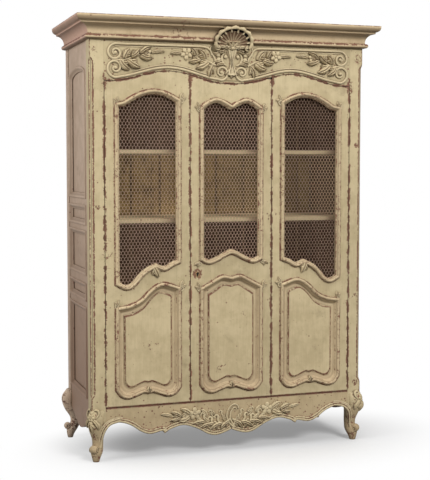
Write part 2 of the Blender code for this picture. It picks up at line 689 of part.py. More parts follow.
# Doors
class Door:
    """Places of one door: its middle, which edge is hung, and the outlines cut in it."""

    def __init__(self, label, middle, hung):
        self.label = label
        self.middle = middle
        self.hung = hung
        self.low = middle - DOOR_WIDTH / 2
        self.high = middle + DOOR_WIDTH / 2
        self.hand = 1 if label == "left" else -1
        centre = label == "centre"
        if centre:
            self.head = (CENTRE_HEAD, SERPENTINE_LOW - CENTRE_HEAD_DROP, CENTRE_HEAD_FALL)
            self.sill = (CENTRE_SILL, DOOR_BOTTOM + CENTRE_SILL_SHARE * DOOR_HEIGHT, CENTRE_SILL_FALL)
            self.panel_head = (CENTRE_PANEL_HEAD, DOOR_BOTTOM + CENTRE_PANEL_SHARE * DOOR_HEIGHT,
                               CENTRE_PANEL_FALL)
        else:
            self.head = (SIDE_HEAD, SERPENTINE_LOW - SIDE_HEAD_DROP, SIDE_HEAD_FALL)
            self.sill = (SIDE_SILL, DOOR_BOTTOM + SIDE_SILL_SHARE * DOOR_HEIGHT, SIDE_SILL_FALL)
            self.panel_head = (SIDE_PANEL_HEAD, DOOR_BOTTOM + SIDE_PANEL_SHARE * DOOR_HEIGHT,
                               SIDE_PANEL_FALL)
        self.panel_foot = (PANEL_FOOT, DOOR_BOTTOM + PANEL_FOOT_RISE, PANEL_FOOT_FALL)
        self.pivot_x = middle + hung * (DOOR_WIDTH / 2 - PIVOT_FROM_EDGE)

    def line(self, shape, half=SIGHT_HALF, rise=0.0):
        """One shaped line across the door."""
        points, level, fall = shape
        return shaped(points, level + rise, fall, self.middle, half, self.hand)

    def window(self):
        """Sight edge of the window."""
        return self.line(self.sill) + self.line(self.head)[::-1]

    def panel(self):
        """Sight edge of the lower panel."""
        return self.line(self.panel_foot) + self.line(self.panel_head)[::-1]

    def field(self):
        """Edge of the panel's raised field."""
        half = SIGHT_HALF - FIELD_MARGIN
        foot = self.line(self.panel_foot, half, FIELD_FOOT_RISE)
        return foot + self.line(self.panel_head, half, -FIELD_SIDE_DROP)[::-1]

    def head_height(self, x):
        """Height of the door's head, level round the pivot so that the hung corner swings clear."""
        height = serpentine(x)
        if abs(x - self.pivot_x) < SWING_RADIUS:
            ends = (self.pivot_x - SWING_RADIUS, self.pivot_x + SWING_RADIUS)
            height = min(height, *(serpentine(end) for end in ends))
        return height - DOOR_GAP

    def outline(self):
        """Edge of the whole door, under the serpentine."""
        step = DOOR_WIDTH / DOOR_HEAD_STEPS
        head = [(x, self.head_height(x)) for x in (self.high - step * i for i in range(DOOR_HEAD_STEPS + 1))]
        return [(self.low, DOOR_BOTTOM), (self.high, DOOR_BOTTOM)] + head


def bead_round(name, outline):
    """A half-sunk bead round an opening."""
    line = grown(outline, BEAD_OUT)
    points = [(x, FRONT + BEAD_SINK, z) for x, z in line]
    return tube(name, points, [BEAD_RADIUS] * len(points), True, 0, collection=CUTTERS)


def build_door_frame(door):
    """Stiles and rails of one door, cut from one framed outline."""
    label = door.label
    edges = {"window": door.window(), "panel": door.panel()}
    whole = plate(f"{label}_frame", [door.outline(), *edges.values()], FACING_FRONT, FRONT, DOOR_BACK,
                  PAINT, CUTTERS)
    cuts = [plate(f"{label}_{kind}_rebate", [grown(edge, REBATE_WIDTH)], FACING_FRONT, REBATE_FLOOR,
                  DOOR_BACK + PAST, collection=CUTTERS) for kind, edge in edges.items()]
    beads = [bead_round(f"{label}_{kind}_bead", edge) for kind, edge in edges.items()]
    boolean(whole, "DIFFERENCE", cuts, MOULDED)
    boolean(whole, "UNION", beads, MOULDED)
    mesh = settled(whole).data
    mesh.materials.clear()
    mesh.materials.append(PAINT)
    free = "lock_stile" if label == "centre" else "free_stile"
    left = "hinge_stile" if door.hung < 0 else free
    right = free if door.hung < 0 else "hinge_stile"
    inner_low = door.middle - SIGHT_HALF
    inner_high = door.middle + SIGHT_HALF
    middle_of_window = (door.head[1] + door.sill[1]) / 2
    middle_of_panel = (door.panel_head[1] + door.panel_foot[1]) / 2
    top = BODY_HEIGHT
    extents = {
        left: (door.low - PAST, inner_low - FIT / 2, 0.0, top),
        right: (inner_high + FIT / 2, door.high + PAST, 0.0, top),
        "top_rail": (inner_low + FIT / 2, inner_high - FIT / 2, middle_of_window, top),
        "lock_rail": (inner_low + FIT / 2, inner_high - FIT / 2, middle_of_panel, middle_of_window),
        "bottom_rail": (inner_low + FIT / 2, inner_high - FIT / 2, 0.0, middle_of_panel),
    }
    members = {}
    for kind, (x_low, x_high, z_low, z_high) in extents.items():
        member = bpy.data.objects.new(f"{label}_{kind}", mesh)
        PARTS.objects.link(member)
        keep = block(f"{label}_{kind}_extent", (x_low, x_high),
                     (FRONT - PAST - BEAD_RADIUS, DOOR_BACK + PAST), (z_low, z_high))
        members[kind] = settled(boolean(member, "INTERSECT", [keep], MOULDED))
    return members


def build_door_filling(door):
    """The raised lower panel and the wire net of one door."""
    label = door.label
    lap = REBATE_WIDTH - 2 * FIT
    seat = REBATE_FLOOR + FIT
    base = plate(f"{label}_lower_panel", [grown(door.panel(), lap)], FACING_FRONT, seat,
                 seat + PANEL_THICKNESS, PAINT)
    field = plate(f"{label}_field", [door.field()], FACING_FRONT, FRONT + FIELD_SET_BACK,
                  seat + PANEL_THICKNESS / 2, collection=CUTTERS)
    boolean(base, "UNION", [field])
    window = door.window()
    net = plate(f"{label}_wire_net", [grown(window, lap)] + net_holes(door, window), FACING_FRONT, seat,
                seat + NET_THICKNESS, WIRE)
    return [base, net]


def inside(point, outline):
    """Whether a point lies within a closed outline."""
    crossings = 0
    for index, (x1, z1) in enumerate(outline):
        x2, z2 = outline[index - 1]
        if (z1 > point[1]) != (z2 > point[1]):
            crossings += point[0] < x1 + (point[1] - z1) * (x2 - x1) / (z2 - z1)
    return crossings % 2 == 1


def net_holes(door, window):
    """Staggered six-sided gaps of the wire net."""
    limit = grown(window, -NET_BAR / 2)
    radius = (NET_CELL - NET_BAR) / math.sqrt(3)
    row_step = NET_CELL * math.sqrt(3) / 2
    low = min(z for _, z in window)
    rows = int((max(z for _, z in window) - low) / row_step) + 1
    columns = int(SIGHT_HALF / NET_CELL) + 1
    holes = []
    for row in range(rows):
        stagger = NET_CELL / 2 * (row % 2)
        for column in range(-columns, columns + 1):
            centre = (door.middle + column * NET_CELL + stagger, low + (row + 0.5) * row_step)
            hole = [(centre[0] + radius * math.sin(a), centre[1] + radius * math.cos(a))
                    for a in (math.pi / 3 * corner for corner in range(6))]
            if all(inside(point, limit) for point in hole):
                holes.append(hole)
    return holes


# Pivots
def build_pivots(door, hinge_stile, frieze, apron):
    """Pins let into the frieze and the apron, and their sockets in the door."""
    label = door.label
    inward = -door.hung
    x_span = sorted((door.pivot_x - inward * PLATE_BEHIND_PIN,
                     door.pivot_x + inward * (PLATE_LENGTH - PLATE_BEHIND_PIN)))
    y_span = (PIVOT_Y - PLATE_WIDTH / 2, PIVOT_Y + PLATE_WIDTH / 2)
    grid = [x_span[0] - FIT + (PLATE_LENGTH + 2 * FIT) * i / 8 for i in range(9)]
    head_high = max(serpentine(x) for x in grid)
    head_low = min(serpentine(x) for x in grid) - DOOR_GAP
    ends = {
        "upper": (frieze, head_high, head_low, -1),
        "lower": (apron, APRON_TOP, DOOR_BOTTOM, 1),
    }
    loose_x = (x_span[0] - FIT, x_span[1] + FIT)
    loose_y = (y_span[0] - FIT, y_span[1] + FIT)
    sockets = []
    for end, (rail, fixed_face, door_face, way) in ends.items():
        fixed_back = fixed_face - way * PLATE_THICKNESS
        door_back = door_face + way * PLATE_THICKNESS
        tip = door_back + way * PIN_REACH
        boolean(rail, "DIFFERENCE", [block(f"{label}_{end}_pin_seat", loose_x, loose_y,
                                           (fixed_back - way * FIT, fixed_face + way * PAST * 2))], MOULDED)
        boolean(hinge_stile, "DIFFERENCE", [
            block(f"{label}_{end}_socket_seat", loose_x, loose_y,
                  (door_back + way * FIT, door_face - way * PAST * 2)),
            rod(f"{label}_{end}_pin_hole", (door.pivot_x, PIVOT_Y, door_face),
                (door.pivot_x, PIVOT_Y, tip + way * 2 * FIT), PIN_RADIUS + 2 * FIT, collection=CUTTERS)],
                MOULDED)
        pin = block(f"{label}_{end}_pivot_pin", x_span, y_span, (fixed_back, fixed_face), BRASS, PARTS)
        root = (door.pivot_x, PIVOT_Y, fixed_face - way * PLATE_THICKNESS / 2)
        shank = rod(f"{label}_{end}_shank", root, (door.pivot_x, PIVOT_Y, tip), PIN_RADIUS)
        collar = rod(f"{label}_{end}_collar", root, (door.pivot_x, PIVOT_Y, door_face - way * FIT),
                     COLLAR_RADIUS)
        boolean(pin, "UNION", [shank, collar])
        socket = block(f"{label}_{end}_pivot_socket", x_span, y_span, (door_face, door_back), BRASS, PARTS)
        bore = rod(f"{label}_{end}_bore", (door.pivot_x, PIVOT_Y, door_face - way * PAST),
                   (door.pivot_x, PIVOT_Y, door_back + way * PAST), PIN_RADIUS + FIT, collection=CUTTERS)
        sockets.append(boolean(socket, "DIFFERENCE", [bore]))
    return sockets


# Lock and bolts
def build_lock(centre_door, lock_stile, left_free_stile):
    """A lock let into the back of the centre door's free stile, with a sliding bolt."""
    edge = centre_door.low
    z_span = (LOCK_HEIGHT - LOCK_TALL / 2, LOCK_HEIGHT + LOCK_TALL / 2)
    case_front = DOOR_BACK - LOCK_THICKNESS
    pocket = block("lock_pocket", (edge - PAST, edge + LOCK_LENGTH + FIT),
                   (case_front - FIT, DOOR_BACK + PAST), (z_span[0] - FIT, z_span[1] + FIT))
    keyhole_x = edge + KEYHOLE_FROM_EDGE
    eye = rod("keyhole_eye", (keyhole_x, FRONT - PAST, LOCK_HEIGHT),
              (keyhole_x, case_front + PAST / 2, LOCK_HEIGHT), KEYHOLE_RADIUS, collection=CUTTERS)
    slot = block("keyhole_slot", (keyhole_x - KEYHOLE_RADIUS / 2, keyhole_x + KEYHOLE_RADIUS / 2),
                 (FRONT - PAST, case_front + PAST / 2), (LOCK_HEIGHT - KEYHOLE_SLOT, LOCK_HEIGHT))
    boolean(lock_stile, "DIFFERENCE", [pocket, eye, slot], MOULDED)
    case = block("lock_case", (edge, edge + LOCK_LENGTH), (case_front, DOOR_BACK), z_span, BRASS, PARTS)
    latch_y = (case_front + LOCK_THICKNESS / 2 - LATCH_THICKNESS / 2,
               case_front + LOCK_THICKNESS / 2 + LATCH_THICKNESS / 2)
    latch_foot = LOCK_HEIGHT + KEYHOLE_RADIUS + 2 * FIT
    latch_z = (latch_foot, latch_foot + LATCH_TALL)
    way = block("latch_way", (edge - PAST, edge + LATCH_LENGTH + FIT), (latch_y[0] - FIT, latch_y[1] + FIT),
                (latch_z[0] - FIT, latch_z[1] + FIT))
    key_way = rod("key_way", (keyhole_x, case_front - PAST, LOCK_HEIGHT),
                  (keyhole_x, case_front + LOCK_THICKNESS * KEY_WAY_SHARE, LOCK_HEIGHT), KEYHOLE_RADIUS,
                  collection=CUTTERS)
    boolean(case, "DIFFERENCE", [way, key_way])
    bolt = block("lock_bolt", (edge, edge + LATCH_LENGTH), latch_y, latch_z, BRASS, PARTS)
    hang([bolt], (edge, sum(latch_y) / 2, sum(latch_z) / 2))
    strike_edge = edge - DOOR_GAP
    loose = 2 * FIT
    strike = block("strike", (strike_edge + PAST, strike_edge - LATCH_THROW),
                   (latch_y[0] - loose, latch_y[1] + loose), (latch_z[0] - loose, latch_z[1] + loose))
    boolean(left_free_stile, "DIFFERENCE", [strike], MOULDED)
    return case


def build_bolt(door):
    """A bolt on the back of a side door that slides up behind the frieze."""
    label = door.label
    x = door.middle - door.hung * (DOOR_WIDTH / 2 - BOLT_FROM_EDGE)
    axis_y = DOOR_BACK + FIT + HOUSING_OUT / 2
    half_width = HOUSING_WIDTH / 2
    tip = min(serpentine(x - half_width), serpentine(x + half_width)) - DOOR_GAP - BOLT_BELOW_EDGE
    housing_top = tip - BOLT_TRAVEL / 2
    housing = block(f"{label}_bolt_housing", (x - half_width, x + half_width),
                    (DOOR_BACK + FIT, DOOR_BACK + FIT + HOUSING_OUT),
                    (housing_top - HOUSING_TALL, housing_top), IRON, PARTS)
    bore = rod(f"{label}_bolt_bore", (x, axis_y, housing_top - HOUSING_TALL - PAST),
               (x, axis_y, housing_top + PAST), BOLT_RADIUS + FIT, collection=CUTTERS)
    boolean(housing, "DIFFERENCE", [bore])
    bolt = rod(f"{label}_bolt", (x, axis_y, tip - BOLT_LENGTH), (x, axis_y, tip), BOLT_RADIUS, IRON)
    knob_z = housing_top - HOUSING_TALL - BOLT_TRAVEL - BOLT_KNOB_RADIUS - FIT
    knob = rod(f"{label}_bolt_knob", (x, axis_y, knob_z), (x, axis_y + BOLT_KNOB_REACH, knob_z),
               BOLT_KNOB_RADIUS)
    boolean(bolt, "UNION", [knob])
    hang([bolt], (x, axis_y, tip))
    return housing


def main():
    """Build the whole cabinet."""
    build_posts()
    frieze = build_frieze()
    apron = build_apron()
    levels = board_levels()
    for label, side in (("left", -1), ("right", 1)):
        build_side(label, side, levels)
    build_boards(levels)
    build_shell(build_cornice())
    doors = [Door("left", -DOOR_PITCH, -1), Door("centre", 0.0, 1), Door("right", DOOR_PITCH, 1)]
    members = {door.label: build_door_frame(door) for door in doors}
    lock_case = build_lock(doors[1], members["centre"]["lock_stile"], members["left"]["free_stile"])
    for door in doors:
        frame = members[door.label]
        pieces = list(frame.values()) + build_door_filling(door)
        pieces += build_pivots(door, frame["hinge_stile"], frieze, apron)
        pieces.append(lock_case if door.label == "centre" else build_bolt(door))
        hang(pieces, (door.pivot_x, PIVOT_Y, DOOR_BOTTOM))


main()
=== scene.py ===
"""Looks of the wire display cabinet: worn cream paint, carving and twisted wire over its solids."""

import json
import logging
import math
from dataclasses import dataclass
from enum import Enum
from typing import Any, Callable, Iterable, Sequence

import bmesh
import bpy
from mathutils import Matrix, Vector

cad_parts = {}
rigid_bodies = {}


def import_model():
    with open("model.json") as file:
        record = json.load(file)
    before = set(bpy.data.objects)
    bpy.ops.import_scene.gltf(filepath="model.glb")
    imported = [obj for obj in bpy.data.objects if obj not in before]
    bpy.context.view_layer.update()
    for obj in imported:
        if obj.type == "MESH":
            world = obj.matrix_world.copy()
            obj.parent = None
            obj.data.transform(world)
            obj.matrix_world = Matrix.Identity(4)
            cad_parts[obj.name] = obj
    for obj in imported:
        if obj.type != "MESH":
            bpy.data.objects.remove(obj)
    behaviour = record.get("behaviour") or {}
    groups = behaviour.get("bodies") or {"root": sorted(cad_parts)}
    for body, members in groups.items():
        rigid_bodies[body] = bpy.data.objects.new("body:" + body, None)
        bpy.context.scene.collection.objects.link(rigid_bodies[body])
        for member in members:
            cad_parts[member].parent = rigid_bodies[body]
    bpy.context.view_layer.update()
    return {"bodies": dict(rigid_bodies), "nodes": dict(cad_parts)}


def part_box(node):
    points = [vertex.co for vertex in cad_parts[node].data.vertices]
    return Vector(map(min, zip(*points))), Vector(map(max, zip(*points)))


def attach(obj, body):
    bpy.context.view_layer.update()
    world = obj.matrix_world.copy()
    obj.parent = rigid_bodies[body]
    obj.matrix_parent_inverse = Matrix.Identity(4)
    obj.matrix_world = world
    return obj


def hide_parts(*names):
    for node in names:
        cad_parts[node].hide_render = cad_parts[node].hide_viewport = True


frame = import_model()

log = logging.getLogger("cabinet")

Triple = tuple[float, float, float]
Colour = Triple
Point = tuple[float, float]
Line = list[Point]
Ring = list[Triple]
Leaf = tuple[Point, Point, float, float]

# Sizes of the solids that the looks follow, in metres
FRONT = -0.272
BACK = 0.348
BODY_TOP = 2.182
HALF_BODY = 0.765
HALF_OPENING = 0.690
DOOR_PITCH = 0.459
DOOR_BOTTOM = 0.285
DOOR_HEIGHT = 1.686
SIGHT_HALF = 0.153
FIELD_MARGIN = 0.030
FIELD_SIDE_DROP = 0.031
FIELD_FOOT_RISE = 0.038
SERPENTINE_LOW = 1.974
SERPENTINE_RISE = 0.058
SERPENTINE_SHARPNESS = 1.25
APRON_TOP = 0.282
SIDE_OUTER = 0.761
LEG_HEIGHT = 0.262
LEG_REACH = 0.017
LEG_RADIUS = 0.043
NET_PLANE = FRONT + 0.020
SHELF_BAY = (1.257, 1.604)

# How finely lines are cut and recesses are felt for, and how softly marks fade
SHAPE_STEPS = 6
ROUND = 2 * math.pi
UPWARD = Vector((0.0, 0.0, 1.0))
RECESS_SAMPLES = 6
ARRIS_SAMPLES = 4
FADE = 0.01
SHARP_FADE = 0.001


# Shading
def operator(operation: str, reflected: bool = False) -> Callable[..., "Value"]:
    """One operator of a Value.

    Args:
        operation: of the Math node that it adds.
        reflected: whether the value stands on the right.

    Returns:
        The operator's method.
    """
    def applied(value: "Value", *others: Any) -> "Value":
        """Add the Math node."""
        terms = (*others, value) if reflected else (value, *others)
        return value.graph.value("ShaderNodeMath", {"operation": operation}, dict(enumerate(terms)))
    return applied


class Value:
    """A shader socket whose arithmetic adds the nodes it needs."""

    __add__, __radd__ = operator("ADD"), operator("ADD", True)
    __sub__, __rsub__ = operator("SUBTRACT"), operator("SUBTRACT", True)
    __mul__, __rmul__ = operator("MULTIPLY"), operator("MULTIPLY", True)
    __truediv__, __rtruediv__ = operator("DIVIDE"), operator("DIVIDE", True)
    __abs__ = operator("ABSOLUTE")
    larger, smaller = operator("MAXIMUM"), operator("MINIMUM")
    raised, cosine, part = operator("POWER"), operator("COSINE"), operator("FRACT")

    def __init__(self, graph: "Graph", socket: bpy.types.NodeSocket) -> None:
        """Keep the graph and the socket."""
        self.graph = graph
        self.socket = socket

    def between(self, low: float, high: float) -> "Value":
        """A soft step from 0 at low to 1 at high; high may be the smaller.

        Args:
            low: where the step gives 0.
            high: where the step gives 1.

        Returns:
            The stepped value.
        """
        settings = {"interpolation_type": "SMOOTHSTEP"}
        if low <= high:
            return self.graph.value("ShaderNodeMapRange", settings, {0: self, 1: low, 2: high})
        return 1.0 - self.graph.value("ShaderNodeMapRange", settings, {0: self, 1: high, 2: low})


class Graph:
    """The nodes of one tree."""

    def __init__(self, tree: bpy.types.NodeTree) -> None:
        """Start with an empty tree."""
        self.tree = tree
        tree.nodes.clear()

    def node(self, kind: str, settings: dict[str, Any] | None = None,
             sockets: dict[Any, Any] | None = None) -> bpy.types.Node:
        """Add one node.

        Args:
            kind: the node's type.
            settings: its properties, set first.
            sockets: what goes into its inputs, a constant or a Value.

        Returns:
            The node.
        """
        made = self.tree.nodes.new(kind)
        for key, setting in (settings or {}).items():
            setattr(made, key, setting)
        for key, given in (sockets or {}).items():
            if isinstance(given, Value):
                self.tree.links.new(given.socket, made.inputs[key])
            else:
                made.inputs[key].default_value = given
        return made

    def value(self, kind: str, settings: dict[str, Any] | None = None,
              sockets: dict[Any, Any] | None = None, output: Any = 0) -> Value:
        """Add one node and take one of its outputs."""
        return Value(self, self.node(kind, settings, sockets).outputs[output])

    def in_sight(self) -> Value:
        """Tell what is seen from what only gives light.

        Returns:
            1 where the eye looks straight, in a gloss or through a thing, and 0 elsewhere.
        """
        path = self.node("ShaderNodeLightPath")
        straight, gloss, through = (Value(self, path.outputs[f"Is {ray} Ray"])
                                    for ray in ("Camera", "Glossy", "Transmission"))
        return straight.larger(gloss).larger(through)


class Finish(Graph):
    """One material's nodes, with the piece's own coordinates at hand."""

    def __init__(self, name: str) -> None:
        """Start an empty material.

        Args:
            name: of the material.
        """
        self.material = bpy.data.materials.new(name)
        self.material.use_nodes = True
        super().__init__(self.material.node_tree)
        self.place = self.value("ShaderNodeTexCoord", output="Object")
        axes = self.node("ShaderNodeSeparateXYZ", sockets={0: self.place})
        self.x, self.y, self.z = (Value(self, socket) for socket in axes.outputs)

    def stretched(self, stretch: Triple) -> Value:
        """The piece's own coordinates, scaled along each axis."""
        return self.value("ShaderNodeVectorMath", {"operation": "MULTIPLY"},
                          {0: self.place, 1: stretch})

    def noise(self, scale: float, detail: float = 4.0, rough: float = 0.55,
              stretch: Triple = (1.0, 1.0, 1.0)) -> Value:
        """Cloudy noise about one half."""
        sockets = {"Vector": self.stretched(stretch), "Scale": scale, "Detail": detail,
                   "Roughness": rough}
        return self.value("ShaderNodeTexNoise", {}, sockets)

    def spots(self, scale: float, radius: float, share: float, on_front: bool = False) -> Value:
        """Scattered round spots.

        Args:
            scale: cells to the metre.
            radius: of a spot, as a share of a cell.
            share: how many of the cells carry one.
            on_front: whether the cells are laid out on the front alone.

        Returns:
            1 in a spot and 0 outside it.
        """
        settings, place = {}, self.place
        if on_front:
            settings = {"voronoi_dimensions": "2D"}
            place = self.value("ShaderNodeCombineXYZ", {}, {0: self.x, 1: self.z})
        cells = self.node("ShaderNodeTexVoronoi", settings, {"Vector": place, "Scale": scale})
        chosen = self.value("ShaderNodeSeparateXYZ", sockets={0: Value(self, cells.outputs["Color"])})
        near = Value(self, cells.outputs["Distance"]).between(radius, radius * 0.6)
        return near * chosen.between(1.0 - share, 1.0 - share + FADE)

    def bay(self, low: float, high: float) -> Value:
        """1 between two heights and 0 beyond them, with soft ends."""
        return (self.z.between(low - FADE, low + FADE)
                * self.z.between(high + FADE, high - FADE))

    def squared_distance(self, middle: Point, squash: float = 1.0) -> Value:
        """Square of the distance from a place on the front, its height counted as less if squashed."""
        across, up = self.x - middle[0], (self.z - middle[1]) * squash
        return across * across + up * up

    def blend(self, factor: Any, first: Any, second: Any) -> Value:
        """A mix of two colours.

        Args:
            factor: 0 for the first and 1 for the second.
            first: a colour, or a Value of one.
            second: a colour, or a Value of one.

        Returns:
            The mixed colour.
        """
        def full(colour: Any) -> Any:
            """A colour with its fourth number."""
            return colour if isinstance(colour, Value) else (*colour, 1.0)
        return self.value("ShaderNodeMix", {"data_type": "RGBA"},
                          {0: factor, 6: full(first), 7: full(second)}, 2)

    def hollow(self, distance: float) -> Value:
        """How shut in a place is, from 0 in the open to 1 in a deep recess."""
        return 1.0 - self.value("ShaderNodeAmbientOcclusion", {"samples": RECESS_SAMPLES},
                                {"Distance": distance}, 1)

    def softened(self, radius: float) -> Value:
        """The normal as it is with the arrises rubbed round."""
        return self.value("ShaderNodeBevel", {"samples": ARRIS_SAMPLES}, {"Radius": radius})

    def edge(self, radius: float) -> Value:
        """Find the arrises.

        Args:
            radius: how far from an arris its mark reaches.

        Returns:
            1 at an arris, falling to 0 away from it.
        """
        flat = self.value("ShaderNodeNewGeometry", output="Normal")
        turned = self.value("ShaderNodeVectorMath", {"operation": "DOT_PRODUCT"},
                            {0: self.softened(radius), 1: flat}, 1)
        return (1.0 - turned).between(0.015, 0.22)

    def surface(self, colour: Value, roughness: Value, height: Value, depth: float,
                constants: dict[str, Any], arris: float = 0.0015) -> bpy.types.Material:
        """Finish the material as one surface.

        Args:
            colour: of the surface.
            roughness: of the surface.
            height: what the bumps follow.
            depth: of the bumps, in metres.
            constants: further inputs of the surface.
            arris: radius by which the edges look rounded.

        Returns:
            The material.
        """
        normal = self.value("ShaderNodeBump", {}, {"Strength": 1.0, "Distance": depth, "Height": height,
                                                   "Normal": self.softened(arris)})
        sockets = {"Base Color": colour, "Roughness": roughness, "Normal": normal, **constants}
        shaded = self.value("ShaderNodeBsdfPrincipled", {}, sockets)
        self.node("ShaderNodeOutputMaterial", {}, {"Surface": shaded})
        return self.material


class Mottled(Finish):
    """A finish with clouds of several sizes to break up a coat of paint."""

    def __init__(self, name: str) -> None:
        """Lay the clouds from the broad to the fine, and the marks of the brush.

        Args:
            name: of the material.
        """
        super().__init__(name)
        self.patchy = self.noise(17.0, 5.0, 0.6)
        self.ragged = self.noise(46.0, 5.0, 0.65)
        self.fine = self.noise(120.0, 5.0, 0.65)
        self.brush = self.noise(1.0, 4.0, 0.6, (150.0, 150.0, 9.0))
        self.tone = self.noise(2.6, 3.0) * 0.40 + self.patchy * 0.40 + self.brush * 0.20


@dataclass(frozen=True)
class WornPaint:
    """Old brushed paint, rubbed through at its edges and darkened in its recesses, partly as painted
    shade.

    A piece's own note of wear rubs the paint through where it is above nought, and darkens it where it
    is below: soil, and painted shade in the creases, grooves and undersides where those notes sit. The
    optional fields are marks that only some of the pieces carry; several of them paint light and shade.
    """

    name: str
    light: Colour = (0.574, 0.472, 0.285)
    shade: Colour = (0.458, 0.369, 0.215)
    # The dark colour of stains, soiling and joints, also used for painted shade in recesses, grooves
    # and gaps.
    grime_and_shade: Colour = (0.125, 0.082, 0.048)
    ground: Colour = (0.128, 0.056, 0.038)
    # How strongly the recesses darken by ambient occlusion, partly soiling and partly painted shade.
    recess_shade_and_grime: float = 0.85
    rubbed: float = 0.0
    flecks: float = 0.18
    arris: float = 0.0012
    gaps: bool = False
    patch: Point | None = None
    # How far and how soon the recesses darken by ambient occlusion: painted shade, with soiling.
    crease: float = 0.022
    recess_range: Point = (0.12, 0.66)
    # Two heights and a paler colour between them: a painted pool of light.
    lit_bay: tuple[float, float, Colour] | None = None
    # A reach across and a dark colour for what lies within it above the door bottom: painted shade
    # inside the cabinet.
    inner: tuple[float, Colour] | None = None
    # Two heights, a share and a colour blended in toward the foot: a stain on the front posts, darker
    # toward the bottom on the apron and the mouldings, painted shade with soil on the sides, and
    # painted light on the rear posts.
    toward_foot: tuple[float, float, float, Colour] | None = None
    # A darker colour toward the right of the inside: painted shade.
    deep: Colour | None = None
    # A pinker colour on the cornice's sides past the mitres: painted shade and reflected light.
    side_shade_tint: Colour | None = None
    boards: float = 0.0
    bare_behind: float = 0.0
    scuffs: tuple[Triple, ...] = ()
    # A paler colour on convex edges: a painted highlight.
    crest: Colour | None = None
    bump: float = 0.0011
    gloss: float = 0.12

    def make(self) -> bpy.types.Material:
        """Build the material.

        Returns:
            The material.
        """
        graph = Mottled(self.name)
        note = graph.value("ShaderNodeAttribute", {"attribute_name": "wear"}, output="Fac")
        colour = self.coats(graph)
        if self.boards:
            colour = self.planked(graph, colour)
        # Painted highlight: convex edges made paler.
        if self.crest:
            colour = graph.blend(graph.edge(0.004) * 0.60, colour, self.crest)
        # Stains, soiling, and painted shade in recesses, grooves and gaps darken the paint.
        colour = graph.blend(self.soil(graph, note), colour, self.grime_and_shade)
        worn = self.bare(graph, self.rub(graph, note))
        pale_ground = tuple(part * 1.6 for part in self.ground)
        under = graph.blend(graph.ragged.between(0.36, 0.64), self.ground, pale_ground)
        colour = graph.blend(worn * 0.94, colour, under)
        roughness = 0.50 + graph.patchy * 0.22 + worn * 0.12
        height = graph.brush * 0.25 + graph.fine * 0.20 - worn * 0.55
        constants = {"Specular IOR Level": self.gloss}
        return graph.surface(colour, roughness, height, self.bump, constants, self.arris)

    def coats(self, graph: Mottled) -> Value:
        """The paint's own colour, with painted light, painted shade and stains laid on in some places.

        Args:
            graph: the material's nodes.

        Returns:
            The colour before soiling, painted shade in recesses, and wear.
        """
        colour = graph.blend(graph.tone.between(0.37, 0.60), self.shade, self.light)
        # Painted light: a paler band between two heights, where the shelf bay is lit.
        if self.lit_bay:
            low, high, pale = self.lit_bay
            bay_light = graph.bay(low, high) * graph.tone.between(0.30, 0.60)
            colour = graph.blend(bay_light, colour, pale)
        # Painted shade: a dark colour inside the cabinet, above the door bottom.
        if self.inner:
            reach, dull = self.inner
            within = abs(graph.x).between(reach, reach - SHARP_FADE)
            within = within * graph.z.between(DOOR_BOTTOM, DOOR_BOTTOM + FADE)
            colour = graph.blend(within, colour, dull)
        # A colour toward the foot: a stain on the front posts, painted shade on the sides, painted
        # light on the rear posts.
        if self.toward_foot:
            high, low, share, foot_tint = self.toward_foot
            colour = graph.blend(graph.z.between(high, low) * share, colour, foot_tint)
        # Painted shade: darker toward the right of the inside, less so in the painted lit band.
        if self.deep:
            right_shade = graph.x.between(0.05, 0.30) * 0.90
            if self.lit_bay:
                right_shade = right_shade * (1.0 - graph.bay(*self.lit_bay[:2]) * 0.42)
            colour = graph.blend(right_shade, colour, self.deep)
        # Painted shade and reflected light: a pinker colour on the cornice's sides past the mitres.
        if self.side_shade_tint:
            mitre = HALF_BODY + FRONT
            past_mitre = (abs(graph.x) + graph.y).between(mitre - 0.003, mitre + 0.003)
            below_top = graph.z.between(BODY_TOP + 0.1178, BODY_TOP + 0.1170)
            colour = graph.blend(past_mitre * below_top * 0.85, colour, self.side_shade_tint)
        return colour

    def planked(self, graph: Mottled, colour: Value) -> Value:
        """Dark joints between boards, which are bare wood behind.

        Args:
            graph: the material's nodes.
            colour: of the paint.

        Returns:
            The colour with the joints and the bare backs.
        """
        if self.bare_behind:
            grain = graph.noise(1.0, 6.0, 0.62, (70.0, 70.0, 3.0))
            wood = graph.blend(grain.between(0.34, 0.64), (0.150, 0.090, 0.050), (0.310, 0.200, 0.115))
            behind = graph.y.between(self.bare_behind - SHARP_FADE, self.bare_behind + SHARP_FADE)
            colour = graph.blend(behind, colour, wood)
        share = (graph.x / self.boards + 0.31).part()
        joint = (0.5 - abs(share - 0.5)).between(0.055, 0.015)
        return graph.blend(joint * graph.patchy.between(0.15, 0.50) * 0.92, colour, self.grime_and_shade)

    def soil(self, graph: Mottled, note: Value) -> Value:
        """Stains, soiling and painted shade in the recesses, and what the piece itself notes.

        Args:
            graph: the material's nodes.
            note: the piece's wear.

        Returns:
            How far the soiling and painted shade hide the paint.
        """
        stain = graph.noise(7.0, 6.0, 0.7).between(0.55, 0.74) * 0.28
        # Ambient occlusion darkens the recesses: painted shade, with soiling.
        shaded_recesses = graph.hollow(self.crease).between(*self.recess_range)
        shaded_recesses = shaded_recesses * (graph.patchy * 0.9 + 0.50) * self.recess_shade_and_grime
        soiled = note * -1.0 * (graph.patchy * 0.6 + 0.65)
        # A dark band along the gap under the doors: soil and painted shade.
        if self.gaps:
            soiled = soiled.larger(self.below_doors(graph) * 0.70)
        return stain.larger(shaded_recesses).larger(soiled).smaller(0.94)

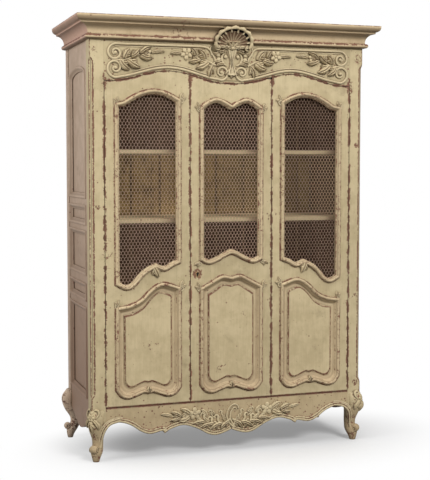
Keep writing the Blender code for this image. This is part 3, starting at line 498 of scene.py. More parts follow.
    def rub(self, graph: Mottled, note: Value) -> Value:
        """Rubbing that the piece notes, at its arrises, beside gaps and at scuffs.

        Args:
            graph: the material's nodes.
            note: the piece's wear.

        Returns:
            How hard a place is rubbed.
        """
        rub = note.larger(0.0)
        if self.rubbed:
            rub = rub.larger(graph.edge(0.007) * self.rubbed)
        if self.gaps:
            rub = rub.larger(self.beside_gaps(graph)).larger(self.below_doors(graph) * 0.78)
        for x, z, reach in self.scuffs:
            near = graph.squared_distance((x, z)).between(reach * reach, 0.0)
            rub = rub.larger(near * 0.62)
        return rub

    def bare(self, graph: Mottled, rub: Value) -> Value:
        """Rubbed places, hair cracks, specks and the patch round a keyhole.

        Args:
            graph: the material's nodes.
            rub: how hard a place is rubbed.

        Returns:
            1 where the paint is gone.
        """
        mixed = graph.fine * 0.38 + graph.ragged * 0.37 + graph.patchy * 0.25
        worn = (mixed + rub * 0.30).between(0.660, 0.700)
        crack = abs(graph.noise(7.0, 3.0) - 0.5).between(0.012, 0.004)
        crack = crack * graph.noise(4.3, 2.0).between(0.63, 0.68)
        worn = worn.larger(crack * graph.fine.between(0.48, 0.56))
        specks = [(17.0, 0.085, 3.0, False, 0.85), (52.0, 0.110, 2.5, False, 0.80)]
        if self.flecks > 0.3:
            specks += [(25.0, 0.145, 0.50, True, 0.92), (47.0, 0.170, 0.46, True, 0.92)]
        for scale, radius, share, on_front, depth in specks:
            worn = worn.larger(graph.spots(scale, radius, self.flecks * share, on_front) * depth)
        if self.patch:
            worn = worn.larger(self.bare_round(graph, self.patch))
        return worn

    def below_doors(self, graph: Mottled) -> Value:
        """The band along the gap under the doors, between the posts, both rubbed and darkened as soil
        and painted shade.
        """
        level = abs(graph.z - (DOOR_BOTTOM - 0.0015)).between(0.010, 0.003)
        return level * abs(graph.x).between(HALF_OPENING + 0.0005, HALF_OPENING - 0.0005)

    def beside_gaps(self, graph: Mottled) -> Value:
        """Wear along the upright gaps between the doors and posts, at their heads and over the doors.

        Args:
            graph: the material's nodes.

        Returns:
            How hard a place is rubbed.
        """
        share = (graph.x / DOOR_PITCH + 0.5).part()
        away = (0.5 - abs(share - 0.5)) * DOOR_PITCH
        on_doors = graph.z.between(DOOR_BOTTOM - 0.010, DOOR_BOTTOM + 0.020)
        on_doors = on_doors * graph.z.between(2.030, 2.000)
        streaky = graph.noise(1.0, 4.0, 0.6, (34.0, 34.0, 28.0)).between(0.38, 0.60)
        along = away.between(0.018, 0.000) * on_doors * (streaky * 0.64 + 0.44)
        outer = abs(graph.x).between(0.40, 0.50)
        level = abs(graph.z - (2.012 - outer * 0.040))
        head = away.between(0.032, 0.002) * level.between(0.075, 0.015) * (streaky * 0.44 + 0.54)
        wave = (0.5 - (graph.x * (ROUND / HALF_OPENING)).cosine() * 0.5).larger(0.0)
        edge = wave.raised(SERPENTINE_SHARPNESS) * SERPENTINE_RISE + SERPENTINE_LOW
        within = abs(graph.x).between(HALF_OPENING + SHARP_FADE, HALF_OPENING - SHARP_FADE)
        upper = abs(graph.z - edge + 0.001).between(0.016, 0.001) * within
        upper = upper * (streaky * 0.56 + 0.50)
        on_front = graph.y.between(FRONT + 0.006, FRONT + 0.002)
        return along.larger(head).larger(upper) * on_front

    def bare_round(self, graph: Mottled, middle: Point) -> Value:
        """Paint rubbed away round a keyhole.

        Args:
            graph: the material's nodes.
            middle: of the keyhole.

        Returns:
            1 where the paint is gone.
        """
        ragged = (graph.fine - 0.5) * 0.0014 + (graph.noise(40.0, 4.0, 0.6) - 0.5) * 0.0030
        return (graph.squared_distance(middle, 0.90) + ragged).between(0.00068, 0.00046)


@dataclass(frozen=True)
class Timber:
    """Unpainted boards with a straight grain."""

    name: str
    light: Colour = (0.360, 0.230, 0.125)
    shade: Colour = (0.170, 0.095, 0.048)
    along: Triple = (4.0, 70.0, 70.0)
    # The colour in recesses: painted shade, with settled soiling.
    tint: Colour = (0.05, 0.028, 0.014)
    pale: Colour = (0.42, 0.29, 0.17)

    def make(self) -> bpy.types.Material:
        """Build the material.

        Returns:
            The material.
        """
        graph = Finish(self.name)
        grain = graph.noise(1.0, 6.0, 0.62, self.along)
        broad = graph.noise(3.0, 3.0)
        fine = graph.noise(90.0, 5.0, 0.6)
        colour = graph.blend((grain * 0.7 + broad * 0.3).between(0.34, 0.64), self.shade, self.light)
        # Painted shade with soiling: darker in the recesses, by ambient occlusion.
        colour = graph.blend(graph.hollow(0.05).between(0.3, 0.9) * 0.6, colour, self.tint)
        colour = graph.blend(graph.edge(0.004) * fine * 0.7, colour, self.pale)
        return graph.surface(colour, 0.55 + fine * 0.25, grain, 0.0008, {"Specular IOR Level": 0.3})


@dataclass(frozen=True)
class AgedMetal:
    """Metal under tarnish; the wire also has painted shade toward the right and painted light in a
    band.
    """

    name: str
    bright: Colour
    dull: Colour
    metallic: float = 0.7
    roughness: float = 0.38
    scale: float = 40.0
    # A darker colour toward the right: painted shade.
    shade_on_right: Colour | None = None
    # Two heights and a paler colour between them: a painted pool of light.
    lit_band: tuple[float, float, Colour] | None = None

    def make(self) -> bpy.types.Material:
        """Build the material.

        Returns:
            The material.
        """
        graph = Finish(self.name)
        cloud = graph.noise(self.scale, 5.0, 0.65)
        fine = graph.noise(self.scale * 9.0, 4.0, 0.6)
        tarnish = (cloud * 0.7 + fine * 0.3).between(0.38, 0.60)
        colour = graph.blend(tarnish, self.bright, self.dull)
        rubbed = tuple(min(1.0, part * 1.5) for part in self.bright)
        colour = graph.blend(graph.edge(0.0015) * fine * 0.6, colour, rubbed)
        # Painted shade: the metal darker toward the right.
        if self.shade_on_right:
            colour = graph.blend(graph.x.between(0.15, 0.42) * 0.45, colour, self.shade_on_right)
        # Painted light: the metal paler between two heights, less so toward the right.
        if self.lit_band:
            low, high, tint = self.lit_band
            share = 0.80 - graph.x.between(0.10, 0.36) * 0.42
            colour = graph.blend(graph.bay(low, high) * share, colour, tint)
        shine = {"Metallic": tarnish.between(1.3, -0.1) * self.metallic if self.metallic else 0.0}
        roughness = self.roughness + tarnish * 0.30
        return graph.surface(colour, roughness, cloud + fine * 0.5, 0.0004, shine, 0.0006)


class Palette:
    """The finishes of the cabinet."""

    def __init__(self) -> None:
        """Mix each finish once."""
        self.cream = WornPaint("worn_cream", gaps=True, arris=0.0006).make()
        self.field = WornPaint(
            "panel_cream", light=(0.600, 0.490, 0.296), shade=(0.480, 0.384, 0.224), rubbed=0.95,
            recess_shade_and_grime=0.95).make()
        self.post = WornPaint(
            "rubbed_post", gaps=True, flecks=0.22, recess_shade_and_grime=0.75, crease=0.014, rubbed=0.30,
            toward_foot=(0.270, 0.080, 0.44, (0.330, 0.205, 0.118)),
            scuffs=((0.738, 2.122, 0.042), (-0.738, 2.128, 0.036), (-0.728, 1.330, 0.024),
                    (0.735, 0.330, 0.030), (0.732, 1.650, 0.022))).make()
        self.lock_stile = WornPaint(
            "keyhole_stile", gaps=True, arris=0.0006, patch=(-0.190, 0.966),
            ground=(0.165, 0.078, 0.050)).make()
        self.board = WornPaint(
            "board_cream", light=(0.525, 0.430, 0.258), shade=(0.412, 0.332, 0.193), flecks=0.56,
            arris=0.0004, gaps=True, crease=0.013, recess_range=(0.10, 0.54), recess_shade_and_grime=0.95).make()
        self.apron = WornPaint(
            "apron_cream", light=(0.515, 0.402, 0.238), shade=(0.405, 0.309, 0.179), flecks=0.66,
            arris=0.0004, gaps=True, crease=0.012, recess_shade_and_grime=0.65,
            toward_foot=(0.290, 0.120, 0.22, (0.400, 0.285, 0.175))).make()
        # Carving, whose convex edges take a painted highlight.
        self.carved = WornPaint(
            "carved_cream", light=(0.600, 0.495, 0.305), shade=(0.490, 0.395, 0.240),
            grime_and_shade=(0.150, 0.082, 0.048), recess_shade_and_grime=0.95, flecks=0.05, crease=0.007,
            crest=(0.780, 0.680, 0.470)).make()
        self.moulded = WornPaint(
            "moulded_cream", light=(0.616, 0.492, 0.306), shade=(0.480, 0.370, 0.228),
            grime_and_shade=(0.130, 0.066, 0.040), recess_shade_and_grime=1.0, crease=0.011, recess_range=(0.10, 0.58),
            toward_foot=(0.480, 0.340, 0.30, (0.400, 0.285, 0.172))).make()
        # The cornice; its sides past the mitres carry a pinker colour as painted shade and reflected
        # light.
        self.crown = WornPaint(
            "cornice_cream", light=(0.640, 0.497, 0.308), shade=(0.505, 0.380, 0.230), recess_shade_and_grime=0.9,
            rubbed=0.35, flecks=0.20, side_shade_tint=(0.560, 0.345, 0.268)).make()
        # Rear posts: paler pinkish paint, paler still toward the foot, as painted light on a leg in
        # shade; painted shade on the faces inside the cabinet.
        self.rear = WornPaint(
            "rear_post_cream", light=(0.620, 0.470, 0.360), shade=(0.490, 0.355, 0.262), rubbed=0.40,
            inner=(0.762, (0.070, 0.045, 0.030)),
            toward_foot=(0.330, 0.250, 0.90, (0.770, 0.590, 0.430))).make()
        self.shelf = WornPaint(
            "shelf_cream", light=(0.572, 0.470, 0.284), shade=(0.466, 0.374, 0.220), rubbed=0.30,
            flecks=0.10).make()
        # Sides: a pinker paint, partly its own tone and partly painted shade and reflected light;
        # darker toward the bottom as painted shade with soil; painted shade on the inner faces.
        self.flank = WornPaint(
            "flank_cream", light=(0.575, 0.438, 0.330), shade=(0.455, 0.332, 0.241), rubbed=0.30,
            flecks=0.14, inner=(0.744, (0.080, 0.052, 0.034)),
            toward_foot=(1.750, 0.250, 0.78, (0.282, 0.170, 0.114))).make()
        # The inside: dark paint, partly painted shade; a paler band between the shelves as painted
        # light; painted shade toward the right.
        self.inside = WornPaint(
            "shaded_paint", light=(0.114, 0.071, 0.044), shade=(0.060, 0.036, 0.022), recess_shade_and_grime=0.5,
            flecks=0.10, lit_bay=(*SHELF_BAY, (0.420, 0.282, 0.108)), deep=(0.045, 0.028, 0.018),
            boards=0.172, bare_behind=sum(corner.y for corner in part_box("back_panel")) / 2).make()
        self.bare = Timber("bare_wood").make()
        # Wire: painted shade toward the right door and painted light in the band between the shelves.
        self.wire = AgedMetal(
            "rusted_wire", (0.720, 0.490, 0.360), (0.530, 0.335, 0.240), 0.0, 0.62, 60.0,
            shade_on_right=(0.240, 0.140, 0.090), lit_band=(*SHELF_BAY, (0.880, 0.630, 0.385))).make()
        self.brass = AgedMetal("old_brass", (0.560, 0.380, 0.150), (0.150, 0.085, 0.035)).make()
        # A near-black sheet: painted shade in the keyhole and behind the holes of the shell.
        self.dark = AgedMetal(
            "painted_shade_sheet", (0.016, 0.012, 0.010), (0.008, 0.006, 0.005), 0.0, 0.8).make()
        self.iron = AgedMetal(
            "old_iron", (0.160, 0.150, 0.140), (0.085, 0.055, 0.040), 0.8, 0.45).make()


# Shapes
class Plane(Enum):
    """Upright faces that carry carving: across, up and out become places on the cabinet."""

    FRONT = Matrix(((1, 0, 0, 0), (0, 0, -1, FRONT), (0, 1, 0, 0), (0, 0, 0, 1)))
    LEFT = Matrix(((0, 0, -1, -SIDE_OUTER), (-1, 0, 0, 0), (0, 1, 0, 0), (0, 0, 0, 1)))
    RIGHT = Matrix(((0, 0, 1, SIDE_OUTER), (1, 0, 0, 0), (0, 1, 0, 0), (0, 0, 0, 1)))


def turns(count: int) -> list[float]:
    """Angles spaced evenly round a circle."""
    return [ROUND * index / count for index in range(count)]


def clamped(share: float) -> float:
    """A share kept between 0 and 1."""
    return min(1.0, max(0.0, share))


def in_scene(name: str, data: bpy.types.ID) -> bpy.types.Object:
    """A new object in the scene.

    Args:
        name: of the object.
        data: its mesh, light or camera.

    Returns:
        The object.
    """
    made = bpy.data.objects.new(name, data)
    bpy.context.scene.collection.objects.link(made)
    return made


def flowing(points: Sequence[Sequence[float]], steps: int = SHAPE_STEPS) -> list[Vector]:
    """A smooth line through points of any number of coordinates.

    Args:
        points: what the line passes through.
        steps: how many pieces each stretch is cut into.

    Returns:
        The places along the line.
    """
    places = [Vector(point) for point in points]
    line = [places[0]]
    for index in range(len(places) - 1):
        before, start = places[max(index - 1, 0)], places[index]
        end, after = places[index + 1], places[min(index + 2, len(places) - 1)]
        for step in range(1, steps + 1):
            t = step / steps
            line.append(0.5 * (2 * start + (end - before) * t
                               + (2 * before - 5 * start + 4 * end - after) * t ** 2
                               + (3 * start - before - 3 * end + after) * t ** 3))
    return line


def grown(outline: Line, distance: float) -> Line:
    """A closed anticlockwise outline moved outwards, or inwards if the distance is negative.

    Args:
        outline: its corners.
        distance: how far it moves.

    Returns:
        The moved outline.
    """
    moved = []
    for index, here in enumerate(outline):
        before = (Vector(here) - Vector(outline[index - 1])).normalized()
        after = (Vector(outline[(index + 1) % len(outline)]) - Vector(here)).normalized()
        normals = [Vector((edge.y, -edge.x)) for edge in (before, after)]
        mean = (normals[0] + normals[1]).normalized()
        reach = distance / max(mean.dot(normals[0]), 0.5)
        moved.append((here[0] + mean.x * reach, here[1] + mean.y * reach))
    return moved


def serpentine(x: float) -> float:
    """Height of the frieze's lower edge at a distance from the middle."""
    wave = 0.5 - 0.5 * math.cos(ROUND * x / HALF_OPENING)
    return SERPENTINE_LOW + SERPENTINE_RISE * wave ** SERPENTINE_SHARPNESS


def spiral(middle: Point, outer: float, inner: float, start: float, turn: float,
           steps: int = 40) -> list[Vector]:
    """A volute's line from its outside to its eye.

    Args:
        middle: of the eye.
        outer: radius at the start.
        inner: radius at the end.
        start: angle at the start, in degrees.
        turn: how far it winds, in degrees, anticlockwise if above nought.
        steps: how many pieces the line is cut into.

    Returns:
        The places along the line.
    """
    line = []
    for step in range(steps + 1):
        share = step / steps
        angle = math.radians(start + turn * share)
        radius = outer + (inner - outer) * share ** 0.85
        line.append(Vector(middle) + radius * Vector((math.cos(angle), math.sin(angle))))
    return line


# A carved leaf across its width: places, heights and wear; the notes below nought at its edges and
# underside are soil and painted shade
LEAF_STEPS = 12
LEAF_SECTION: tuple[Triple, ...] = (
    (-1.0, 0.10, -0.60), (-0.80, 0.62, 0.0), (-0.40, 1.0, 0.1), (0.0, 0.62, -0.05),
    (0.40, 1.0, 0.1), (0.80, 0.62, 0.0), (1.0, 0.10, -0.60), (0.7, -0.25, -0.8), (-0.7, -0.25, -0.8))

# Wear of a carved ridge: darkened where it meets the face, as soil and painted shade, and rubbed on its
# crest
RIDGE_FOOT = -0.85
RIDGE_CREST = 0.05

# Leaves as wide as this, in millimetres, have three lobes
LOBED_WIDTH = 24


class Shape:
    """A piece in the making, in across, up and out coordinates or straight in the cabinet's."""

    def __init__(self) -> None:
        """Start empty, with a note of the wear at each place."""
        self.bm = bmesh.new()
        self.wear = self.bm.verts.layers.float.new("wear")

    def loft(self, rings: Sequence[Sequence[Sequence[float]]], joined: bool = False,
             wear: Callable[[int, int], float] = lambda ring, spot: 0.0) -> None:
        """Skin a row of closed rings that have as many points each.

        Args:
            rings: the sections, in order.
            joined: whether the last ring meets the first, in place of two closed ends.
            wear: how rubbed a place is, by the number of its ring and of its point in it.
        """
        verts = [self.bm.verts.new(point) for point in rings[0]]
        for spot, vert in enumerate(verts):
            vert[self.wear] = wear(0, spot)
        edges = [self.bm.edges.new((a, b)) for a, b in zip(verts, verts[1:] + verts[:1])]
        first = edges
        for number, ring in enumerate(rings[1:], 1):
            made = bmesh.ops.extrude_edge_only(self.bm, edges=edges)["geom"]
            fresh = {item for item in made if isinstance(item, bmesh.types.BMVert)}
            moved = []
            for vert, point in zip(verts, ring):
                copy = next(e.other_vert(vert) for e in vert.link_edges if e.other_vert(vert) in fresh)
                copy.co = point
                copy[self.wear] = wear(number, len(moved))
                moved.append(copy)
            verts = moved
            edges = [item for item in made if isinstance(item, bmesh.types.BMEdge)
                     and all(vert in fresh for vert in item.verts)]
        if joined:
            bmesh.ops.bridge_loops(self.bm, edges=first + edges)
        else:
            bmesh.ops.edgeloop_fill(self.bm, edges=first)
            bmesh.ops.edgeloop_fill(self.bm, edges=edges)

    def rope(self, line: Sequence[Vector], radius: Callable[[float], float], rise: float = 1.0,
             out: float = 0.0, sides: int = 8) -> None:
        """A rounded ridge along a line on a face.

        Args:
            line: places on the face.
            radius: half width at a share of the length.
            rise: height as a share of the half width.
            out: how far the ridge's middle stands off the face.
            sides: of the section.
        """
        rings = []
        last = len(line) - 1
        for index, here in enumerate(line):
            ahead = (line[min(index + 1, last)] - line[max(index - 1, 0)]).normalized()
            reach = radius(index / last)
            rings.append([(here.x - ahead.y * reach * math.cos(angle),
                           here.y + ahead.x * reach * math.cos(angle),
                           out + reach * rise * math.sin(angle)) for angle in turns(sides)])
        wear = [RIDGE_FOOT if abs(math.sin(angle)) < 0.3 else RIDGE_CREST for angle in turns(sides)]
        self.loft(rings, wear=lambda ring, spot: wear[spot])

    def leaf(self, base: Point, tip: Point, width: float, bend: float = 0.0, height: float = 0.012,
             lobes: int = 3, out: float = 0.0) -> None:
        """A carved leaf with a hollow vein and a lobed edge.

        Args:
            base: where it springs.
            tip: where it ends.
            width: across its widest part.
            bend: sideways bow, as a share of its length.
            height: of its crest.
            lobes: along each edge.
            out: how far its edge stands off the face.
        """
        start, end = Vector(base), Vector(tip)
        along = end - start
        aside = Vector((-along.y, along.x))
        rings = []
        for step in range(LEAF_STEPS + 1):
            t = step / LEAF_STEPS
            middle = start + along * t + aside * bend * math.sin(math.pi * t)
            swell = math.sin(math.pi * min(1.0, 0.07 + 0.91 * t) ** 0.85) ** 0.52
            half = width / 2 * max(0.07, swell) * (1.0 + 0.15 * math.sin(ROUND * lobes * t))
            crest = height * (0.45 + 0.75 * math.sin(math.pi * (0.10 + 0.80 * t)))
            across = (aside + along * bend * math.pi * -math.cos(math.pi * t)).normalized()
            rings.append([(*(middle + across * half * aside_share), out + crest * up)
                          for aside_share, up, _ in LEAF_SECTION])
        self.loft(rings, wear=lambda ring, spot: LEAF_SECTION[spot][2])

    def boss(self, middle: Sequence[float], radius: float, rise: float = 0.8) -> None:
        """A rounded knob on a face."""
        place = Matrix.Translation(middle) @ Matrix.Diagonal((radius, radius, radius * rise, 1.0))
        bmesh.ops.create_icosphere(self.bm, subdivisions=2, radius=1.0, matrix=place)

    def flower(self, middle: Point, radius: float, petals: int = 5, turn: float = 0.0) -> None:
        """An open flower: rounded petals about a knob.

        Args:
            middle: of the flower.
            radius: to the tips of its petals.
            petals: how many.
            turn: of the first petal, in degrees.
        """
        for petal in range(petals):
            angle = math.radians(turn) + ROUND * petal / petals
            place = Vector(middle) + radius * 0.58 * Vector((math.cos(angle), math.sin(angle)))
            turned = Matrix.Translation((*place, 0.003)) @ Matrix.Rotation(angle, 4, "Z")
            petal_size = Matrix.Diagonal((radius * 0.44, radius * 0.36, 0.0080, 1.0))
            bmesh.ops.create_icosphere(self.bm, subdivisions=2, radius=1.0, matrix=turned @ petal_size)
        self.boss((*middle, 0.007), radius * 0.24)

    def vine(self, base: Point, tip: Point, width: float, bend: float = 0.0) -> None:
        """A broad leaf of three lobes.

        Args:
            base: where it springs.
            tip: where it ends.
            width: across its widest part.
            bend: sideways bow, as a share of its length.
        """
        start, end = Vector(base), Vector(tip)
        along = end - start
        aside = Vector((-along.y, along.x)).normalized()
        for side in (-1, 1):
            root = start + along * 0.12
            point = start + along * 0.58 + aside * side * width * 0.66
            self.leaf(tuple(root), tuple(point), width * 0.62, -side * 0.12, 0.014, 2)
        self.leaf(base, tip, width * 0.80, bend, 0.020, 2)

    def spray(self, leaves: Iterable[Leaf]) -> None:
        """Several leaves, the wide ones lobed.

        Args:
            leaves: a base, a tip, a width and a bend each, in millimetres.
        """
        for base, tip, width, bend in leaves:
            make = self.vine if width >= LOBED_WIDTH else self.leaf
            ends = [(x / 1000, z / 1000) for x, z in (base, tip)]
            make(*ends, width / 1000, bend)

    def curl(self, middle: Point, toward: float, size: float) -> None:
        """A small ear of carving: a wound ridge with two leaves behind it.

        Args:
            middle: of the winding.
            toward: direction of the leaves, in degrees.
            size: length of the longer leaf.
        """
        turn = 1.0 if math.cos(math.radians(toward)) > 0 else -1.0
        self.rope(spiral(middle, size * 0.36, size * 0.10, toward - turn * 150.0, turn * 400.0, 22),
                  lambda t: size * 0.12, 1.3, 0.002, 6)
        for aside, share in ((-34.0, 0.75), (16.0, 1.0)):
            angle = math.radians(toward + turn * aside)
            tip = Vector(middle) + size * share * Vector((math.cos(angle), math.sin(angle)))
            self.leaf(middle, tuple(tip), size * 0.46, turn * 0.12, 0.009, 2)

    def whole(self) -> list[Any]:
        """All that the shape has so far."""
        return self.bm.verts[:] + self.bm.edges[:] + self.bm.faces[:]

    def copied(self, geometry: list[Any]) -> list[bmesh.types.BMVert]:
        """Copy a part of the shape and give the copy's vertices."""
        made = bmesh.ops.duplicate(self.bm, geom=geometry)["geom"]
        return [item for item in made if isinstance(item, bmesh.types.BMVert)]

    def mirrored(self) -> None:
        """Add the same again on the other side of the middle."""
        bmesh.ops.scale(self.bm, vec=(-1.0, 1.0, 1.0), verts=self.copied(self.whole()))

    def laid(self, matrix: Matrix) -> None:
        """Turn the whole shape into place."""
        bmesh.ops.transform(self.bm, matrix=matrix, verts=self.bm.verts[:])

    def join(self, other: "Shape", matrix: Matrix) -> None:
        """Add another shape, turned into place.

        Args:
            other: the shape, which is used up.
            matrix: what turns it.
        """
        mesh = bpy.data.meshes.new("joined")
        other.laid(matrix)
        other.bm.to_mesh(mesh)
        self.bm.from_mesh(mesh)
        bpy.data.meshes.remove(mesh)
        other.bm.free()

    def fitted(self, low: Vector, high: Vector) -> Matrix:
        """Stretch the shape to fill a box.

        Args:
            low: the box's least corner.
            high: its greatest corner.

        Returns:
            The stretch.
        """
        places = [vert.co for vert in self.bm.verts]
        least = Vector([min(place[axis] for place in places) for axis in range(3)])
        most = Vector([max(place[axis] for place in places) for axis in range(3)])
        scale = [(high[axis] - low[axis]) / (most[axis] - least[axis]) for axis in range(3)]
        stretch = Matrix.Translation(low) @ Matrix.Diagonal((*scale, 1.0)) @ Matrix.Translation(-least)
        self.laid(stretch)
        return stretch

    def piece(self, name: str, material: bpy.types.Material, body: str = "carcass",
              stands_for: Sequence[str] = (),
              sharp: float = 40.0) -> bpy.types.Object:
        """Make the finished piece.

        Args:
            name: of the piece.
            material: its finish.
            body: what it moves with.
            stands_for: solids that it is shown in place of.
            sharp: angle above which an edge stays crisp, in degrees.

        Returns:
            The object.
        """
        bmesh.ops.recalc_face_normals(self.bm, faces=self.bm.faces[:])
        mesh = bpy.data.meshes.new(name)
        self.bm.to_mesh(mesh)
        self.bm.free()
        mesh.shade_smooth()
        mesh.set_sharp_from_angle(angle=math.radians(sharp))
        mesh.materials.append(material)
        made = in_scene(name, mesh)
        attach(made, body)
        if stands_for:
            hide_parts(*stands_for)
        log.info("%s: %d faces", name, len(mesh.polygons))
        return made


# Carcass
@dataclass
class Frieze:
    """The carved serpentine board over the doors."""

    palette: Palette
    bead: float = 0.0066
    above_edge: float = 0.016

    def build(self) -> None:
        """Mouldings that end in volutes, two sprays a side and the leaf below the shell."""
        shape = Shape()
        self.mouldings(shape)
        self.sprays(shape)
        self.below_shell(shape)
        shape.mirrored()
        self.middle_leaf(shape)
        shape.laid(Plane.FRONT.value)
        shape.piece("frieze_carving", self.palette.carved)

    def mouldings(self, shape: Shape) -> None:
        """The straight bead above and the serpentine one below, each wound into volutes.

        Args:
            shape: what it is added to.
        """
        upper = flowing([(-0.112, 2.118), (-0.122, 2.146), (-0.150, 2.160), (-0.220, 2.162),
                         (-0.420, 2.162), (-0.610, 2.162)])
        upper += spiral((-0.630, 2.117), 0.045, 0.009, 92.0, 520.0)
        lower = spiral((-0.057, 2.030), 0.041, 0.008, 270.0, 470.0)[::-1]
        steps = 36
        for step in range(1, steps):
            x = -0.060 - 0.552 * step / steps
            lower.append(Vector((x, serpentine(x) + self.above_edge)))
        lower += spiral((-0.630, 2.040), 0.050, 0.009, 272.0, -500.0)
        for line in (upper, lower):
            shape.rope(line, lambda t: self.bead * (1.0 - 0.35 * abs(2 * t - 1) ** 6), 1.25, 0.001)
        for line, off, radius in ((lower[44:72], 0.0135, 0.0032), (upper[14:32], -0.0125, 0.0030)):
            fillet = [Vector((place.x, place.y + off)) for place in line]
            shape.rope(fillet, lambda t: radius, 1.2, 0.0, 6)
        for middle in ((-0.630, 2.117), (-0.630, 2.040), (-0.057, 2.030)):
            shape.boss((*middle, 0.003), 0.010)

    def sprays(self, shape: Shape) -> None:
        """A leafy branch from the corner and one from the shell, each with a flower.

        Args:
            shape: what it is added to.
        """
        shape.rope(flowing([(-0.648, 2.082), (-0.600, 2.079), (-0.560, 2.088), (-0.520, 2.104),
                            (-0.475, 2.114)]),
                   lambda t: 0.0058 - 0.0025 * t, 1.1)
        shape.rope(flowing([(-0.090, 2.066), (-0.140, 2.090), (-0.190, 2.109), (-0.240, 2.121),
                            (-0.290, 2.122)]),
                   lambda t: 0.0060 - 0.0028 * t, 1.1)
        shape.spray((
            ((-604, 2078), (-556, 2030), 36, -0.10), ((-566, 2082), (-498, 2044), 40, -0.08),
            ((-582, 2090), (-556, 2136), 34, 0.10), ((-546, 2098), (-506, 2134), 30, -0.10),
            ((-438, 2122), (-368, 2127), 20, 0.06), ((-500, 2116), (-440, 2150), 30, 0.10),
            ((-498, 2108), (-432, 2094), 32, -0.12), ((-134, 2082), (-196, 2052), 42, 0.12),
            ((-176, 2098), (-236, 2084), 32, 0.10), ((-146, 2100), (-184, 2146), 36, -0.12),
            ((-274, 2122), (-338, 2120), 19, -0.05), ((-200, 2114), (-226, 2150), 28, -0.10),
            ((-106, 2062), (-126, 2004), 30, -0.10),
        ))
        shape.flower((-0.464, 2.121), 0.026, 5, 20.0)
        shape.flower((-0.250, 2.122), 0.033, 5, 50.0)

    def below_shell(self, shape: Shape) -> None:
        """Scrolls and leaves to the left of the middle leaf.

        Args:
            shape: what it is added to.
        """
        shape.rope(flowing([(-0.112, 2.168), (-0.119, 2.143), (-0.102, 2.114), (-0.093, 2.092),
                            (-0.104, 2.070),
                            (-0.126, 2.062)]), lambda t: 0.0065 * (1.0 - 0.4 * abs(2 * t - 1)), 1.2)
        shape.rope(flowing([(-0.028, 2.146), (-0.050, 2.124), (-0.056, 2.098), (-0.044, 2.076),
                            (-0.026, 2.066)]),
                   lambda t: 0.0075 * (1.0 - 0.4 * abs(2 * t - 1)), 1.2)
        shape.spray((
            ((-34, 2150), (-80, 2136), 24, 0.12), ((-60, 2138), (-104, 2130), 22, 0.12),
            ((-58, 2100), (-98, 2088), 22, 0.10), ((-42, 2076), (-86, 2064), 20, -0.12),
            ((-12, 2050), (-40, 2022), 18, 0.15),
        ))
        for middle, radius in (((-0.076, 2.120), 0.011), ((-0.074, 2.098), 0.012),
                               ((-0.034, 2.112), 0.010)):
            shape.boss((*middle, 0.004), radius)

    def middle_leaf(self, shape: Shape) -> None:
        """The fluted stem under the shell.

        Args:
            shape: what it is added to.
        """
        def half(t: float) -> float:
            """Half width of the stem at a share of its length."""
            return 0.023 + 0.013 * math.cos(ROUND * t * 0.95)

        stem = flowing([(0.0, 2.160), (0.0, 2.120), (0.0, 2.085), (0.0, 2.050), (0.0, 2.016)], 5)
        shape.rope(stem, half, 0.50)
        for aside in (-0.55, 0.0, 0.55):
            flute = [Vector((aside * half(i / 10), 2.158 - 0.0140 * i)) for i in range(11)]
            shape.rope(flute, lambda t: 0.20 * half(t), 1.3, 0.0085, 6)
        shape.leaf((0.0, 2.060), (0.0, 2.002), 0.030, 0.0, 0.014, 2)


